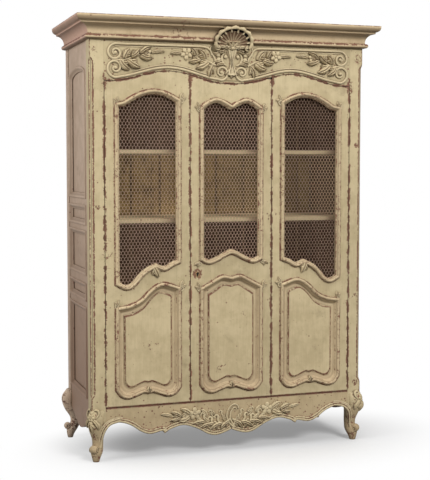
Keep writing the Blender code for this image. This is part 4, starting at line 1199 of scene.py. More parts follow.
@dataclass
class Shell:
    """The carved scallop that leans against the cornice."""

    palette: Palette
    ribs: int = 13
    frills: int = 9
    half_width: float = 0.100
    half_height: float = 0.084
    middle: float = 0.048
    root: float = 0.014
    droop: float = 24.0
    lean: float = 22.0
    steps: int = 40

    def build(self) -> None:
        """A ribbed bowl, a frilled rim with dark holes inside it, and a tuft at the foot."""
        shape = Shape()
        self.bowl(shape)
        self.rim(shape)
        self.foot(shape)
        lean = Matrix.Rotation(math.radians(self.lean + 90.0), 4, "X")
        shape.laid(lean)
        low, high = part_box("shell_crest")
        fit = shape.fitted(low + Vector((0.0, 0.0, 0.006)), high + Vector((0.0, 0.0, 0.014)))
        shape.piece("carved_shell", self.palette.carved, stands_for=["shell_crest"], sharp=60.0)
        # Painted shade: a near-black band behind the rim darkens the holes between its bars.
        ground = Shape()
        section = ((0.70, 0.006), (0.93, 0.008), (0.93, -0.006), (0.70, -0.006))
        ground.loft(self.strip(0.06, 0.94, section))
        ground.laid(fit @ lean)
        ground.piece("shell_ground", self.palette.dark)

    def strip(self, start: float, end: float, section: Sequence[Point]) -> list[Ring]:
        """Sections of a band that follows the rim.

        Args:
            start: share of the way round where it starts.
            end: share of the way round where it ends.
            section: reach and height of its corners.

        Returns:
            The sections, in order.
        """
        shares = [start + (end - start) * step / self.steps for step in range(self.steps + 1)]
        return [[(*self.spot(share, reach), up) for reach, up in section] for share in shares]

    def spot(self, share: float, reach: float) -> Vector:
        """A place on the shell's face.

        Args:
            share: of the way round from the right end of the rim to the left one.
            reach: share of the way from the root to the rim.

        Returns:
            The place, across and up.
        """
        angle = math.radians(-self.droop + (180.0 + 2 * self.droop) * share)
        root = Vector((0.0, self.root))
        rim = Vector((self.half_width * math.cos(angle),
                      self.middle + self.half_height * math.sin(angle)))
        return root + (rim - root) * reach

    def bowl(self, shape: Shape) -> None:
        """The hollow ribbed middle and the ground behind it, darkened as painted shade.

        Args:
            shape: what it is added to.
        """
        steps = self.ribs * 8
        rings = []
        for step in range(steps + 1):
            rib = abs(math.sin(math.pi * self.ribs * step / steps))
            section = [(reach, 0.004 + 0.026 * reach ** 2.0 + 0.0090 * reach * (rib - 0.5))
                       for reach in (0.06, 0.20, 0.36, 0.52, 0.64, 0.72, 0.76)]
            section += [(0.75, 0.006), (0.40, -0.006), (0.06, -0.008)]
            rings.append([(*self.spot(step / steps, reach), up) for reach, up in section])
        shape.loft(rings, wear=self.bowl_soil_and_shade)
        # Painted shade: the ground behind the ribs takes the darkest note.
        rear = self.strip(0.0, 1.0, ((0.60, -0.004), (0.95, -0.004), (0.95, -0.010), (0.60, -0.010)))
        shape.loft(rear, wear=lambda ring, spot: -1.0)

    @staticmethod
    def bowl_soil_and_shade(ring: int, spot: int) -> float:
        """Soil and painted shade on the bowl: pale at the root, dark toward the rim and darkest between
        the ribs.
        """
        toward_rim = (0.05, 0.25, 0.60, 0.85, 0.95, 0.95, 0.70, 1.4, 1.4, 1.4)[spot]
        return -toward_rim * (1.20 if ring % 8 in (0, 1, 2, 6, 7) else 0.62)

    def rim(self, shape: Shape) -> None:
        """The thick frilled edge and the bars that hold it.

        Args:
            shape: what it is added to.
        """
        steps = self.frills * 8

        def swell(share: float) -> float:
            """How far a frill stands out at a share of the way round."""
            return abs(math.sin(math.pi * self.frills * share))

        line = [self.spot(step / steps, 0.935 + 0.030 * swell(step / steps))
                for step in range(steps + 1)]
        shape.rope(line, lambda t: 0.0068 + 0.0026 * swell(t), 1.5, 0.030, 10)
        for frill in range(self.frills + 1):
            bar = [self.spot(frill / self.frills, reach) for reach in (0.72, 0.79, 0.86, 0.92)]
            shape.rope(bar, lambda t: 0.0044 + 0.0018 * t, 1.2, 0.024, 6)
            if frill < self.frills:
                curl = self.spot((frill + 0.5) / self.frills, 0.985)
                shape.boss((*curl, 0.032), 0.0092, 0.9)

    def foot(self, shape: Shape) -> None:
        """A small palm leaf in front of the foot and a curled leaf below each end.

        Args:
            shape: what it is added to.
        """
        for turn in (18.0, 54.0, 90.0, 126.0, 162.0):
            angle = math.radians(turn)
            tip = (0.042 * math.cos(angle), 0.010 + 0.036 * math.sin(angle))
            shape.leaf((0.0, 0.006), tip, 0.017, 0.0, 0.011, 1, 0.012)
        shape.boss((0.0, 0.010, 0.022), 0.010, 0.9)
        for side in (-1, 1):
            shape.leaf((side * 0.026, 0.004), (side * 0.074, 0.012), 0.017, side * 0.14,
                       0.012, 2, 0.010)
            curl = spiral((side * 0.082, 0.008), 0.015, 0.004, 90.0, side * 430.0, 22)
            shape.rope(curl, lambda t: 0.0048, 1.6, 0.018)


@dataclass
class Cornice:
    """The moulded cornice, mitred round three sides.

    The marks are heights on its face, with the wear there; marks below nought are soil and painted
    shade, dark under the astragal, in the cove and on the ovolo.
    """

    palette: Palette
    cuts: int = 6
    marks: tuple[Point, ...] = (
        (0.000, -0.85), (0.006, -0.85), (0.010, 0.30), (0.016, 0.70), (0.024, 0.76), (0.030, 0.20),
        (0.038, 0.0), (0.052, -0.20), (0.068, -0.42), (0.0760, -0.50), (0.0775, -0.10), (0.084, -0.15),
        (0.087, -0.80), (0.100, -0.62), (0.109, -0.46), (0.1108, 0.10), (0.1165, 0.74), (0.119, 0.64))
    top_mark: float = -0.10

    def build(self) -> None:
        """Run the profile along the left side, the front and the right side."""
        section = self.profile()
        shape = Shape()
        rings = []
        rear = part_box("cornice_left")[1].y
        for side, at_rear in ((-1, True), (-1, False), (1, False), (1, True)):
            rings.append([(side * (HALF_BODY + reach), rear if at_rear else FRONT - reach,
                           BODY_TOP + up) for reach, up in section])
        notes = self.notes(section)
        shape.loft(self.divided(rings), wear=lambda ring, spot: notes[spot])
        shape.piece("cornice_moulding", self.palette.crown,
                    stands_for=["cornice_front", "cornice_left", "cornice_right"], sharp=30.0)

    def profile(self) -> Line:
        """Reach and height round the section: astragal, fillet, cove, fillet and ovolo.

        Returns:
            The corners of the section.
        """
        line: Line = [(-0.045, 0.0003), (0.004, 0.0003), (0.010, 0.0010)]
        for angle in (math.pi * i / 8 for i in range(1, 8)):
            line.append((0.012 + 0.012 * math.sin(angle), 0.013 - 0.012 * math.cos(angle)))
        line += [(0.010, 0.0255), (0.010, 0.032)]
        for angle in (math.pi / 2 * i / 8 for i in range(1, 9)):
            line.append((0.052 - 0.042 * math.cos(angle), 0.032 + 0.044 * math.sin(angle)))
        line += [(0.0525, 0.0765), (0.0535, 0.084), (0.057, 0.085)]
        for angle in (math.pi / 2 * i / 6 for i in range(1, 7)):
            line.append((0.057 + 0.019 * math.sin(angle), 0.110 - 0.024 * math.cos(angle)))
        return line + [(0.0760, 0.1165), (0.0745, 0.1180), (0.0700, 0.1180), (-0.045, 0.1180)]

    def notes(self, section: Line) -> list[float]:
        """Wear, soil and painted shade at each corner of the section.

        Args:
            section: its corners.

        Returns:
            The wear of each, below nought for soil and painted shade.
        """
        notes = []
        for reach, up in section:
            if up > 0.117 and reach < 0.072:
                notes.append(self.top_mark)
                continue
            after = next(index for index, (level, _) in enumerate(self.marks) if level > up)
            (low, first), (high, last) = self.marks[after - 1], self.marks[after]
            notes.append(first + (last - first) * (up - low) / (high - low))
        return notes

    def divided(self, rings: list[Ring]) -> list[Ring]:
        """The same run with sections between, so that the wear follows the length.

        Args:
            rings: the sections at its ends and mitres.

        Returns:
            All the sections, in order.
        """
        runs = []
        for first, last in zip(rings, rings[1:]):
            for step in range(self.cuts):
                runs.append([tuple(Vector(a).lerp(Vector(b), step / self.cuts))
                             for a, b in zip(first, last)])
        return runs + [rings[-1]]


class Corner(Enum):
    """The four posts: name, side, near face, far face, width and whether it is in front."""

    FRONT_LEFT = ("front_left_post", -1, FRONT, FRONT + 0.075, 0.075, True)
    FRONT_RIGHT = ("front_right_post", 1, FRONT, FRONT + 0.075, 0.075, True)
    REAR_LEFT = ("rear_left_post", -1, BACK - 0.060, BACK, 0.050, False)
    REAR_RIGHT = ("rear_right_post", 1, BACK - 0.060, BACK, 0.050, False)


@dataclass
class Post:
    """A corner post that runs down into a scrolled foot."""

    palette: Palette
    corner: Corner
    chamfer: float = 0.017
    chamfer_low: float = 0.330
    chamfer_high: float = 2.098
    shaft_bottom: float = 0.205
    stations: tuple[tuple[float, float, float, float], ...] = (
        (1.050, 0.20, 0.88, 5.0), (1.000, 0.47, 0.93, 4.0), (0.930, 0.82, 1.00, 3.2),
        (0.821, 1.00, 1.00, 2.6), (0.630, 0.71, 0.84, 2.2), (0.458, 0.02, 0.67, 2.0),
        (0.324, -0.02, 0.63, 2.0), (0.191, 0.50, 0.70, 2.0), (0.084, 0.71, 0.52, 2.0),
        (0.000, 0.71, 0.38, 2.0))
    heel: float = 0.36
    stop: float = 0.030
    arris: float = 0.0004
    leg_sides: int = 24
    leg_wear: float = 0.46
    # The chamfer's middle note darkens it: painted shade, as it faces away from the light.
    front_wear: tuple[float, ...] = (0.0, 0.60, 0.82, 0.60, -0.85, 0.60, 0.82, 0.60)
    rear_wear: tuple[float, ...] = (0.0, 0.2, 0.6, 0.2, 0.0, 0.2, 0.6, 0.2)
    rear_slim: float = 0.88
    rear_splay: float = 1.9
    rear_shift: float = 0.008
    toe_out: float = 0.028
    toe_height: float = 0.066
    toe_radius: float = 0.0218
    toe_half: float = 0.02064
    knee_height: float = 0.232

    def __post_init__(self) -> None:
        """Choose the place and the thickness of this post, and which way its foot kicks out."""
        self.name, self.side, self.near, self.far, self.width, self.is_front = self.corner.value
        inward, depth = HALF_BODY - self.width / 2, (self.near + self.far) / 2
        self.middle = Vector((self.side * inward, depth, 0.0))
        self.outward = Vector((self.side, -1.0 if self.is_front else 0.0, 0.0)).normalized()
        self.across = Vector((-self.outward.y, self.outward.x, 0.0))
        self.slim, self.splay = (1.0, 1.0) if self.is_front else (self.rear_slim, self.rear_splay)
        if not self.is_front:
            self.middle.y -= self.rear_shift

    def build(self) -> None:
        """The shaft, the leg, the toe and the carved knee."""
        shape = Shape()
        self.shaft(shape)
        self.leg(shape)
        self.toe(shape)
        if self.is_front:
            self.knee(shape)
        finish = self.palette.post if self.is_front else self.palette.rear
        shape.piece(f"{self.name}_turned", finish, stands_for=[self.name], sharp=38.0)

    def shaft(self, shape: Shape) -> None:
        """The square shaft, its outer corner chamfered between two stops if it is in front.

        Args:
            shape: what it is added to.
        """
        side, near, far, arris = self.side, self.near, self.far, self.arris
        outer, inner = side * HALF_BODY, side * (HALF_BODY - self.width)
        levels = [self.shaft_bottom, 0.27]
        if self.is_front:
            levels += [self.chamfer_low + self.stop * i / 6 for i in range(7)]
            levels += [self.chamfer_low + self.stop + 0.1 * i for i in range(1, 17)]
            levels += [self.chamfer_high - self.stop + self.stop * i / 6 for i in range(7)]
        levels += [BODY_TOP - 0.0003]
        rings = []
        for level in levels:
            ends = min(level - self.chamfer_low, self.chamfer_high - level)
            t = clamped(ends / self.stop)
            cut = 0.0015 + (self.chamfer * t * t * (3 - 2 * t) if self.is_front else 0.0)
            by, lip, on = 0.009, 0.0038, min(0.0042, cut * 0.3)
            moulded = ((cut + by, 0.0), (cut + lip, 0.0), (cut, 0.0), (cut - on, on),
                       (cut * 0.5, cut * 0.5), (on, cut - on), (0.0, cut), (0.0, cut + lip),
                       (0.0, cut + by))
            plain = ((outer, far - arris), (outer - side * arris, far), (inner + side * arris, far),
                     (inner, far - arris), (inner, near + arris), (inner + side * arris, near))
            rings.append([(outer - side * aside, near + back, level) for aside, back in moulded]
                         + [(x, y, level) for x, y in plain])
        notes = self.front_wear if self.is_front else self.rear_wear
        shape.loft(rings, wear=lambda ring, spot: notes[spot] if spot < len(notes) else 0.0)

    def leg(self, shape: Shape) -> None:
        """The cabriole leg, square below the post and round at the ankle.

        Args:
            shape: what it is added to.
        """
        rings = []
        for level, out, thick, power in flowing(self.stations, 4):
            place = self.middle + self.outward * LEG_REACH * out * self.splay
            radius = LEG_RADIUS * thick * self.slim
            place.z = max(0.0, LEG_HEIGHT * level)
            behind = self.heel * clamped((0.95 - level) / 0.30) * min(1.0, level / 0.25)
            ring = []
            for a in turns(self.leg_sides):
                corner = (abs(math.cos(a)) ** power + abs(math.sin(a)) ** power) ** (-1 / power)
                reach = Vector((math.cos(a), math.sin(a), 0.0)) * radius * corner
                ring.append(place + reach + self.outward * min(0.0, reach.dot(self.outward)) * behind)
            rings.append(ring)
        shape.loft(rings, wear=lambda ring, spot: self.leg_wear)

    def toe(self, shape: Shape) -> None:
        """The snail scroll on the foot: a drum with a wound ridge on each cheek.

        Args:
            shape: what it is added to.
        """
        drum = Shape()
        radius, half = self.toe_radius * self.slim, self.toe_half * self.slim
        rings = []
        for level, share in ((-1.0, 0.55), (-0.9, 0.82), (-0.6, 1.0), (0.0, 1.04), (0.6, 1.0),
                             (0.9, 0.82), (1.0, 0.55)):
            wide = radius * share
            rings.append([(wide * math.cos(a), wide * math.sin(a), half * level) for a in turns(16)])
        drum.loft(rings)
        for cheek in (-1, 1):
            line = spiral((0.0, 0.0), radius * 0.80, radius * 0.15, 200.0, -cheek * 500.0, 26)
            drum.rope(line, lambda t: radius * 0.17, cheek * 1.2, cheek * half, 6)
            drum.boss((0.0, 0.0, cheek * half), radius * 0.2, 0.7)
        place = self.middle + self.outward * self.toe_out * math.sqrt(self.splay)
        turned = Matrix((self.outward, UPWARD, self.across)).transposed().to_4x4()
        shape.join(drum, Matrix.Translation(place + UPWARD * self.toe_height) @ turned)

    def knee(self, shape: Shape) -> None:
        """Carving on the knee: knobs, a hanging leaf and two scrolls.

        Args:
            shape: what it is added to.
        """
        carving = Shape()
        carving.boss((0.0, 0.034, -0.002), 0.013, 0.8)
        carving.flower((0.0, 0.008), 0.022, 6)
        carving.vine((0.0, -0.010), (0.0, -0.070), 0.034)
        for side in (-1, 1):
            curve = flowing([(side * 0.012, 0.048), (side * 0.030, 0.044), (side * 0.036, 0.024),
                             (side * 0.026, 0.006)])
            carving.rope(curve, lambda t: 0.0062 * (1.0 - 0.4 * t), 1.2)
            carving.leaf((side * 0.016, -0.004), (side * 0.036, -0.052), 0.022, side * 0.15, 0.010, 2)
        for vert in carving.bm.verts:
            x, z, out = vert.co
            vert.co.z = 0.003 + out * 0.80 - x * x / 0.086 - (z + 0.010) ** 2 / 0.190
        place = self.middle + self.outward * (LEG_REACH + LEG_RADIUS - 0.002)
        turned = Matrix((self.across, UPWARD, self.outward)).transposed().to_4x4()
        shape.join(carving, Matrix.Translation(place + UPWARD * self.knee_height) @ turned)


@dataclass
class SideMouldings:
    """Beads round the sunk fields of the two sides."""

    palette: Palette
    near: float = -0.1447
    far: float = 0.2617
    arch: float = 0.045
    fields: tuple[Point, ...] = ((0.149, 0.360), (0.385, 0.418), (0.447, 0.545), (0.568, 0.606),
                                 (0.632, 0.922))
    steps: int = 6
    arch_steps: int = 24
    # Notes below nought darken the groove inside the bead: soil and painted shade.
    section: tuple[Triple, ...] = (
        (0.012, -0.001, 0.2), (0.0115, 0.0030, 0.2), (0.009, 0.0062, 0.1), (0.005, 0.0070, 0.2),
        (0.001, 0.0052, 0.1), (-0.002, 0.0010, -0.3), (-0.004, 0.0000, -0.4), (-0.008, -0.0040, -0.3),
        (-0.013, -0.0075, -0.2), (-0.016, -0.0090, 0.4), (-0.017, -0.0125, 0.3), (0.002, -0.0115, 0.0))

    def build(self) -> None:
        """One piece a side."""
        for plane, label, turn in ((Plane.LEFT, "left", -1), (Plane.RIGHT, "right", 1)):
            shape = Shape()
            for index, (low, high) in enumerate(self.fields):
                outline = self.outline(low * BODY_TOP, high * BODY_TOP, index == len(self.fields) - 1)
                rows = [[(turn * y, z, up) for y, z in grown(outline, out)]
                        for out, up, _ in self.section]
                shape.loft(rows, True, lambda row, spot: self.section[row][2])
            shape.laid(plane.value)
            shape.piece(f"{label}_side_beads", self.palette.flank)

    def outline(self, low: float, high: float, arched: bool) -> Line:
        """Edge of one field, cut fine enough to carry the wear.

        Args:
            low: height of its foot.
            high: height of its springing.
            arched: whether its head is arched.

        Returns:
            The outline, anticlockwise.
        """
        steps, arch_steps = self.steps, self.arch_steps
        line: Line = [(self.near + (self.far - self.near) * i / steps, low) for i in range(steps + 1)]
        line += [(self.far, low + (high - low) * i / steps) for i in range(1, steps)]
        middle, half = (self.near + self.far) / 2, (self.far - self.near) / 2
        rise = self.arch if arched else 0.0
        for angle in (math.pi * i / arch_steps for i in range(arch_steps + 1)):
            line.append((middle + half * math.cos(angle), high + rise * math.sin(angle)))
        return line + [(self.near, high + (low - high) * i / steps) for i in range(1, steps)]


@dataclass
class Apron:
    """The carved apron between the front feet.

    A stroke is one small scroll; the strokes are where it stands, and its size there.
    """

    palette: Palette
    edge: tuple[Point, ...] = (
        (0.000, 0.433), (0.043, 0.390), (0.116, 0.344), (0.188, 0.372), (0.283, 0.500), (0.391, 0.582),
        (0.493, 0.525), (0.539, 0.461), (0.562, 0.504), (0.652, 0.465), (0.725, 0.521), (0.804, 0.652),
        (0.880, 0.721))
    into_leg: tuple[Triple, ...] = (
        (0.638, 0.2015, 0.0), (0.668, 0.1915, 0.002), (0.687, 0.172, 0.003), (0.6975, 0.146, -0.004),
        (0.7030, 0.120, -0.013), (0.7060, 0.096, -0.018), (0.7085, 0.074, -0.018))
    section: tuple[Point, ...] = (
        (-0.0006, -0.006), (-0.0004, 0.003), (0.002, 0.0065), (0.006, 0.0082), (0.010, 0.0070),
        (0.0125, 0.0030), (0.0140, 0.0032), (0.0165, 0.0056), (0.0195, 0.0060), (0.0225, 0.0042),
        (0.0245, 0.0005), (0.0245, -0.002))
    ribbon: tuple[tuple[Point, ...], ...] = (
        ((0.016, 0.130), (-0.008, 0.152), (-0.024, 0.180), (-0.025, 0.208), (-0.013, 0.236),
         (0.004, 0.253), (0.022, 0.256), (0.036, 0.247), (0.041, 0.232)),
        ((0.020, 0.134), (0.004, 0.156), (-0.006, 0.180), (-0.006, 0.204), (0.003, 0.226),
         (0.014, 0.238), (0.025, 0.236), (0.031, 0.226)))
    stroke: tuple[Point, ...] = (
        (0.032, 0.012), (0.022, 0.025), (0.009, 0.018), (0.011, -0.001), (0.000, -0.020),
        (-0.020, -0.032))
    strokes: tuple[Triple, ...] = (
        (0.066, 0.180, 1.0), (0.102, 0.172, 1.0), (0.144, 0.196, 1.0), (0.188, 0.210, 0.9),
        (0.080, 0.150, 0.75), (0.124, 0.154, 0.75), (0.170, 0.176, 0.75), (0.106, 0.214, 0.75),
        (0.252, 0.226, 0.7), (0.048, 0.210, 0.7))
    section_wear: tuple[float, ...] = (
        0.4, 0.76, 0.45, 0.2, 0.3, 0.68, 0.74, 0.3, 0.3, 0.55, 0.82, 0.66)
    web: tuple[Point, ...] = ((0.0, 0.002), (0.030, 0.002), (0.030, -0.022), (0.0, -0.022))
    cuts: int = 5
    flatten: float = 0.76

    def build(self) -> None:
        """The double moulding along the edge, then the sprays and the ribbon in the middle."""
        shape = Shape()
        path = [(x * HALF_OPENING, z * APRON_TOP, 0.0) for x, z in self.edge] + list(self.into_leg)
        line = flowing(path, self.cuts)
        last = len(line) - 1
        rings, web = [], []
        for index, here in enumerate(line):
            ahead = (line[min(index + 1, last)] - line[max(index - 1, 0)]).xy.normalized()
            up = Vector((-ahead.y, ahead.x))
            rings.append([(*(here.xy + up * out), here.z + rise) for out, rise in self.section])
            if index >= self.cuts * (len(self.edge) - 1):
                web.append([(*(here.xy + up * out), here.z + rise) for out, rise in self.web])
        shape.loft(rings, wear=lambda ring, spot: self.section_wear[spot])
        shape.loft(web)
        shape.mirrored()
        carving = Shape()
        self.sprays(carving)
        carving.mirrored()
        for ridge in self.ribbon:
            carving.rope(flowing(ridge), lambda t: 0.0064 * (1.0 - 0.30 * t), 1.6)
        carving.leaf((0.010, 0.138), (0.030, 0.190), 0.020, -0.10)
        shape.join(carving, Matrix.Diagonal((1.0, 1.0, self.flatten, 1.0)))
        shape.laid(Plane.FRONT.value)
        shape.piece("apron_carving", self.palette.carved)

    def sprays(self, shape: Shape) -> None:
        """A winding branch with scrolls, lobed leaves and a flower, on one side of the middle.

        Args:
            shape: what it is added to.
        """
        shape.rope(flowing([(0.004, 0.178), (0.050, 0.156), (0.108, 0.154), (0.158, 0.176),
                            (0.198, 0.204), (0.246, 0.215), (0.300, 0.211), (0.345, 0.217)]),
                   lambda t: 0.0078 - 0.0038 * t, 1.3)
        for along, up, size in self.strokes:
            shape.rope(flowing([(along + size * x, up + size * z) for x, z in self.stroke]),
                       lambda t: 0.0086 * size * (1.0 - 0.45 * abs(2 * t - 1)), 1.6)
        shape.spray((
            ((16, 168), (62, 122), 26, 0.14), ((56, 160), (122, 126), 27, 0.12),
            ((104, 160), (180, 142), 25, 0.10), ((150, 174), (222, 166), 24, 0.08),
            ((34, 168), (44, 206), 20, -0.10), ((124, 172), (158, 204), 22, -0.12),
            ((96, 208), (112, 240), 20, -0.10), ((140, 206), (172, 240), 23, 0.10),
            ((234, 224), (284, 250), 34, 0.10), ((238, 208), (300, 190), 36, -0.10),
            ((284, 214), (338, 238), 28, 0.08), ((288, 208), (344, 196), 24, -0.08),
            ((332, 217), (394, 230), 20, 0.05)))
        shape.flower((0.206, 0.220), 0.036, 5, 15.0)


# Doors
class Place(Enum):
    """Where a door hangs: its middle and its hand."""

    LEFT = ("left", -DOOR_PITCH, 1)
    CENTRE = ("centre", 0.0, -1)
    RIGHT = ("right", DOOR_PITCH, -1)


@dataclass(frozen=True)
class Curve:
    """One shaped line across a door: its level, its fall, and points in shares of both."""

    level: float
    fall: float
    points: tuple[Point, ...]
    even: bool = False

    def across(self, middle: float, hand: int, half: float, rise: float = 0.0) -> Line:
        """The line from left to right on one door.

        Args:
            middle: of the door.
            hand: 1 for a left door and -1 for one drawn the other way round.
            half: half the width that the line spans.
            rise: how far it is raised.

        Returns:
            The places along the line.
        """
        points = self.points
        if self.even:
            points = points + tuple((-x, z) for x, z in reversed(points[:-1]))
        line = flowing([(x * half, self.level + rise + z * self.fall) for x, z in points])
        placed = [(middle + hand * p.x, p.y) for p in line]
        return placed if hand > 0 else placed[::-1]


SIDE_HEAD = Curve(SERPENTINE_LOW - 0.064, 0.070, (
    (-1.0, -1.0), (-0.79, -0.90), (-0.55, -0.57), (-0.20, -0.19), (0.20, 0.0), (0.60, -0.14),
    (1.0, -0.57)))
SIDE_SILL = Curve(DOOR_BOTTOM + 0.440 * DOOR_HEIGHT, 0.106, (
    (-1.0, -0.84), (-0.78, -1.0), (-0.58, -0.89), (-0.22, -0.34), (0.20, 0.0), (0.36, -0.02),
    (0.56, -0.13), (0.78, 0.04), (1.0, 0.18)))
CENTRE_HEAD = Curve(SERPENTINE_LOW - 0.102, 0.034, (
    (-1.0, -1.0), (-0.75, -0.26), (-0.52, 0.0), (-0.25, -0.47), (0.0, -1.0)), True)
CENTRE_SILL = Curve(DOOR_BOTTOM + 0.479 * DOOR_HEIGHT, 0.051, (
    (-1.0, -0.78), (-0.80, -1.0), (-0.50, -0.65), (0.0, 0.0)), True)
SIDE_PANEL_HEAD = Curve(DOOR_BOTTOM + 0.367 * DOOR_HEIGHT, 0.118, (
    (-1.0, -1.0), (-0.60, -0.91), (-0.20, -0.67), (0.10, -0.305), (0.36, -0.06), (0.60, 0.0),
    (1.0, -0.17)))
CENTRE_PANEL_HEAD = Curve(DOOR_BOTTOM + 0.384 * DOOR_HEIGHT, 0.053, (
    (-1.0, -1.0), (-0.65, -0.47), (-0.32, 0.0), (0.0, -0.15)), True)
PANEL_FOOT = Curve(DOOR_BOTTOM + 0.091, 0.026, (
    (-1.0, 0.15), (-0.88, -0.73), (-0.70, -1.0), (-0.45, -0.54), (-0.18, 0.0), (0.0, -0.15)), True)


@dataclass
class Door:
    """A door's mouldings, tufts of leaves and wire."""

    palette: Palette
    place: Place
    side_steps: int = 14
    # Notes below nought darken the groove beside the bead and the margin next to it: soil and painted
    # shade.
    bead: tuple[Triple, ...] = (
        (0.0305, -0.0020, 0.62), (0.0292, 0.0010, 0.68), (0.0272, 0.0026, 0.56), (0.0252, 0.0024, 0.58),
        (0.0240, 0.0014, 0.68), (0.0228, 0.0078, 0.54), (0.0200, 0.0132, 0.36), (0.0160, 0.0160, 0.50),
        (0.0118, 0.0152, 0.34), (0.0088, 0.0124, 0.60), (0.0062, 0.0084, -0.65), (0.0042, 0.0060, 0.36),
        (0.0022, 0.0026, 0.50), (-0.0010, 0.0004, 0.64))
    cove: tuple[Triple, ...] = (
        (0.0, 0.0012, 0.50), (0.04, -0.0020, 0.44), (0.10, -0.0060, 0.20), (0.20, -0.0096, -0.30),
        (0.32, -0.0112, -0.20), (0.46, -0.0118, 0.0), (0.60, -0.0118, 0.0), (0.70, -0.0112, 0.05),
        (0.76, -0.0104, 0.58), (0.84, -0.0080, 0.60), (0.93, -0.0055, 0.66), (0.985, -0.0040, 0.74),
        (1.02, -0.0036, 0.78), (1.02, -0.0060, 0.70), (0.50, -0.0140, 0.0))
    reveal: tuple[Triple, ...] = ((-0.0014, -0.0105, 0.0), (0.004, -0.0105, 0.0))
    cell: float = 0.0180
    wire: float = 0.00094
    net_low: float = 0.90
    net_high: float = 1.93
    net_margin: float = 0.004

    def __post_init__(self) -> None:
        """Choose the lines of this door."""
        self.label, self.middle, self.hand = self.place.value
        centre = self.place is Place.CENTRE
        self.head = CENTRE_HEAD if centre else SIDE_HEAD
        self.sill = CENTRE_SILL if centre else SIDE_SILL
        self.panel_head = CENTRE_PANEL_HEAD if centre else SIDE_PANEL_HEAD
        self.body = f"{self.label}_door"

    def build(self) -> None:
        """Mouldings, tufts and netting."""
        self.window_moulding()
        self.panel_moulding()
        self.tufts()
        self.netting()

    def ring(self, low: Line, high: Line) -> Line:
        """An anticlockwise outline from a lower and an upper line, with points up both sides.

        Args:
            low: the lower line, from left to right.
            high: the upper line, from left to right.

        Returns:
            The outline.
        """
        def climb(start: Point, end: Point) -> Line:
            """Places strictly between two corners."""
            steps = self.side_steps
            return [(start[0] + (end[0] - start[0]) * i / steps,
                     start[1] + (end[1] - start[1]) * i / steps) for i in range(1, steps)]
        return low + climb(low[-1], high[-1]) + high[::-1] + climb(high[0], low[0])

    def sight(self) -> Line:
        """Sight edge of the window."""
        return self.ring(self.sill.across(self.middle, self.hand, SIGHT_HALF),
                         self.head.across(self.middle, self.hand, SIGHT_HALF))

    def rows(self, outline: Line, section: Sequence[Point]) -> list[Ring]:
        """Closed rows of places round an outline, one for each point of a section."""
        return [[(x, z, up) for x, z in grown(outline, out)] for out, up in section]

    def window_moulding(self) -> None:
        """The bead round the window, down into its reveal."""
        shape = Shape()
        section = self.bead + self.reveal
        rows = self.rows(self.sight(), [(out, up) for out, up, _ in section])
        shape.loft(rows, True, lambda row, spot: section[row][2])
        shape.laid(Plane.FRONT.value)
        shape.piece(f"{self.label}_window_moulding", self.palette.moulded, self.body, sharp=30.0)

    def panel_moulding(self) -> None:
        """The bead round the lower panel and the cove down to its field."""
        outer = self.ring(PANEL_FOOT.across(self.middle, self.hand, SIGHT_HALF),
                          self.panel_head.across(self.middle, self.hand, SIGHT_HALF))
        half = SIGHT_HALF - FIELD_MARGIN
        inner = self.ring(PANEL_FOOT.across(self.middle, self.hand, half, FIELD_FOOT_RISE),
                          self.panel_head.across(self.middle, self.hand, half, -FIELD_SIDE_DROP))
        rows = self.rows(outer, [(out, up) for out, up, _ in self.bead[:-3]])
        wear = [rub for _, _, rub in self.bead[:-3]]
        for share, up, rub in self.cove:
            rows.append([(a[0] + (b[0] - a[0]) * share, a[1] + (b[1] - a[1]) * share, up)
                         for a, b in zip(outer, inner)])
            wear.append(rub)
        shape = Shape()
        shape.loft(rows, True, lambda row, spot: wear[row])
        shape.laid(Plane.FRONT.value)
        shape.piece(f"{self.label}_panel_moulding", self.palette.moulded, self.body, sharp=30.0)

    def tufts(self) -> None:
        """Small carved leaves at the corners of the window and of the panel."""
        shape = Shape()
        if self.place is Place.CENTRE:
            for side, turn in ((-1, 180.0), (1, 0.0)):
                shape.curl((side * 0.180, 1.838), turn + side * 55.0, 0.036)
                shape.curl((side * 0.180, 1.026), turn - side * 40.0, 0.032)
                shape.curl((side * 0.180, 0.890), turn + side * 55.0, 0.036)
            shape.vine((0.0, 0.384), (0.0, 0.350), 0.024)
        else:
            for u, z, turn, size in ((-0.168, 1.860, 92.0, 0.034), (0.178, 1.880, 55.0, 0.042),
                                     (-0.168, 0.814, 92.0, 0.034), (0.178, 0.898, 55.0, 0.042)):
                toward = turn if self.hand > 0 else 180.0 - turn
                shape.curl((self.middle + self.hand * u, z), toward, size)
            shape.vine((self.middle + self.hand * 0.028, 1.016),
                       (self.middle + self.hand * 0.054, 0.960), 0.040)
            shape.vine((self.middle, 0.384), (self.middle, 0.350), 0.024)
        shape.laid(Plane.FRONT.value)
        shape.piece(f"{self.label}_door_leaves", self.palette.carved, self.body)

